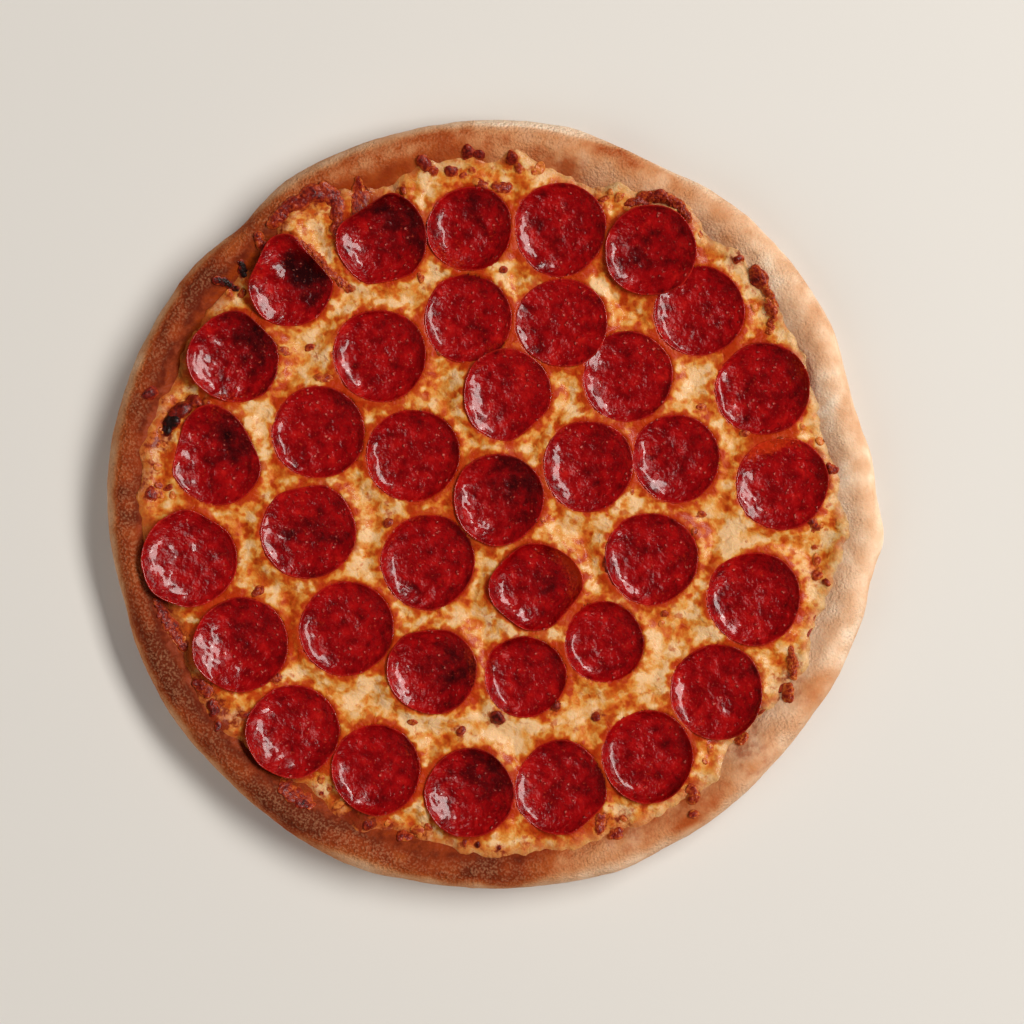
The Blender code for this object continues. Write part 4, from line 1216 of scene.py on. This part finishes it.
def pepperoni_finish():
    """Cooked sausage: crimson, mottled and marbled with fat, orange where fat has pooled, thinly oiled, with
    painted shade, a painted highlight round the rim and painted glints.
    """
    meat = Finish("cooked_pepperoni")
    cloud = meat.noise(6 * MM, 3.0, 0.55)
    # The meat's tone is deepened by its mottle and scorch and by painted shade.
    tone = meat.sum("SUBTRACT", cloud, meat.sum("MULTIPLY", meat.value("mottle_and_shade"), 0.24))
    colour = meat.ramp(tone, MEAT_TONES)
    fat = meat.noise(1.1 * MM, 2.0, 0.5)
    colour = meat.mixed(meat.between(fat, 0.62, 0.78, 0.0, 0.45), colour, FAT_COLOUR)
    grease = meat.sum("ADD", meat.value("grease"), meat.between(fat, 0.3, 0.7, -0.2, 0.2))
    colour = meat.mixed(meat.between(grease, 0.30, 1.1, 0.0, 0.6), colour, GREASE_COLOUR)
    # A painted highlight round the rim: partly the paler colour of the cut edge, partly the sheen of its lit
    # top edge, painted all round.
    rim = meat.between(meat.value("rim"), 0.95, 0.99, 0.0, 0.3)
    colour = meat.mixed(rim, colour, RIM_HIGHLIGHT_COLOUR)
    beads = meat.sum("ADD", meat.cells(3.1 * MM), meat.between(fat, 0.3, 0.7, 0.12, -0.08))
    fatty = meat.between(cloud, 0.44, 0.56)
    # Pale dots at the beads: partly grains of fat, partly painted glints where a wet bead would catch the
    # lamp.
    glint_specks = meat.sum("MULTIPLY", meat.between(beads, 0.20, 0.06, 0.0, 0.6), fatty)
    colour = meat.mixed(glint_specks, colour, GLINT_SPECK_COLOUR)
    blebs = meat.sum("MULTIPLY", meat.between(beads, 0.36, 0.04), fatty)
    bump = meat.bumped(blebs, 0.50 * MM)
    bump = meat.bumped(meat.noise(1.3 * MM, 2.0, 0.5), 0.24 * MM, bump)
    bump = meat.bumped(meat.noise(3.6 * MM, 2.0, 0.5, 0.2), 1.1 * MM, bump)
    return meat.done(
        Base_Color=colour,
        Roughness=meat.between(cloud, 0.3, 0.7, 0.24, 0.34),
        Normal=bump,
        Subsurface_Weight=0.05,
        Subsurface_Radius=(1.0, 0.25, 0.15),
        Subsurface_Scale=0.002,
        Specular_IOR_Level=0.15,
        Coat_Weight=meat.between(blebs, 0.0, 0.4, 0.45, 1.0),
        Coat_Roughness=0.09,
    )


cooked_pepperoni = pepperoni_finish()
for number, node in enumerate(slice_nodes, 1):
    piece(node + "_slice", make_slice(node, number), cooked_pepperoni, "pepperoni", node)


# The floor: a plain pale surface for the pizza to lie on. It is wide enough to fill every view.
FLOOR_HALF = 6.0
FLOOR_DROP = 0.2 * MM

floor_mesh = bpy.data.meshes.new("pale_floor")
corners = [(FLOOR_HALF * x, FLOOR_HALF * y, -FLOOR_DROP) for x, y in [(-1, -1), (1, -1), (1, 1), (-1, 1)]]
floor_mesh.from_pydata(corners, [], [(0, 1, 2, 3)])
pale_floor = bpy.data.objects.new("pale_floor", floor_mesh)
bpy.context.scene.collection.objects.link(pale_floor)
floor_mesh.materials.append(Finish("pale_floor").done(Base_Color=paint(226, 222, 216), Roughness=0.8))


# The light: one wide key from the right and a little beyond the pizza, which lays long strips of
# sheen on the walls of the slices, with a weak fill from the other side and a very weak sky.
LAMP_COLOUR = (1.0, 0.97, 0.93)
SKY_COLOUR = (1.0, 0.98, 0.96, 1.0)
SKY_STRENGTH = 0.06


def soft_light(name, direction, elevation, distance, wide, high, power):
    """An oblong lamp that looks at the pizza from that direction and elevation, in degrees."""
    lamp = bpy.data.lights.new(name, "AREA")
    lamp.shape = "RECTANGLE"
    lamp.size, lamp.size_y = wide, high
    lamp.energy = power
    lamp.color = LAMP_COLOUR
    obj = bpy.data.objects.new(name, lamp)
    turn, rise = math.radians(direction), math.radians(elevation)
    obj.location = (
        distance * math.cos(rise) * math.cos(turn),
        distance * math.cos(rise) * math.sin(turn),
        distance * math.sin(rise),
    )
    obj.rotation_euler = (-obj.location).to_track_quat("-Z", "Y").to_euler()
    bpy.context.scene.collection.objects.link(obj)


soft_light("key_light", direction=20, elevation=46, distance=3.2, wide=3.2, high=0.8, power=122)
soft_light("fill_light", direction=215, elevation=38, distance=2.6, wide=2.2, high=2.2, power=25)
bpy.data.objects["fill_light"].visible_glossy = False

sky = bpy.data.worlds.new("soft_sky")
bpy.context.scene.world = sky
sky.use_nodes = True
sky.node_tree.nodes["Background"].inputs["Color"].default_value = SKY_COLOUR
sky.node_tree.nodes["Background"].inputs["Strength"].default_value = SKY_STRENGTH
bpy.context.scene.view_settings.view_transform = "Standard"


# The camera: straight above, with a long lens, so that the pizza fills three quarters of the frame.
PHOTO_SIDE = 1024
PIZZA_MIDDLE = (493, 505)
METRES_PER_PIXEL = 0.463 * MM
LENS = 85.0
SENSOR = 36.0

lens = bpy.data.cameras.new("camera")
lens.lens = LENS
lens.sensor_width = SENSOR
camera = bpy.data.objects.new("camera", lens)
camera.location = (
    (PHOTO_SIDE / 2 - PIZZA_MIDDLE[0]) * METRES_PER_PIXEL,
    (PIZZA_MIDDLE[1] - PHOTO_SIDE / 2) * METRES_PER_PIXEL,
    PHOTO_SIDE * METRES_PER_PIXEL * LENS / SENSOR + WELL_HEIGHT,
)
bpy.context.scene.collection.objects.link(camera)
bpy.context.scene.camera = camera
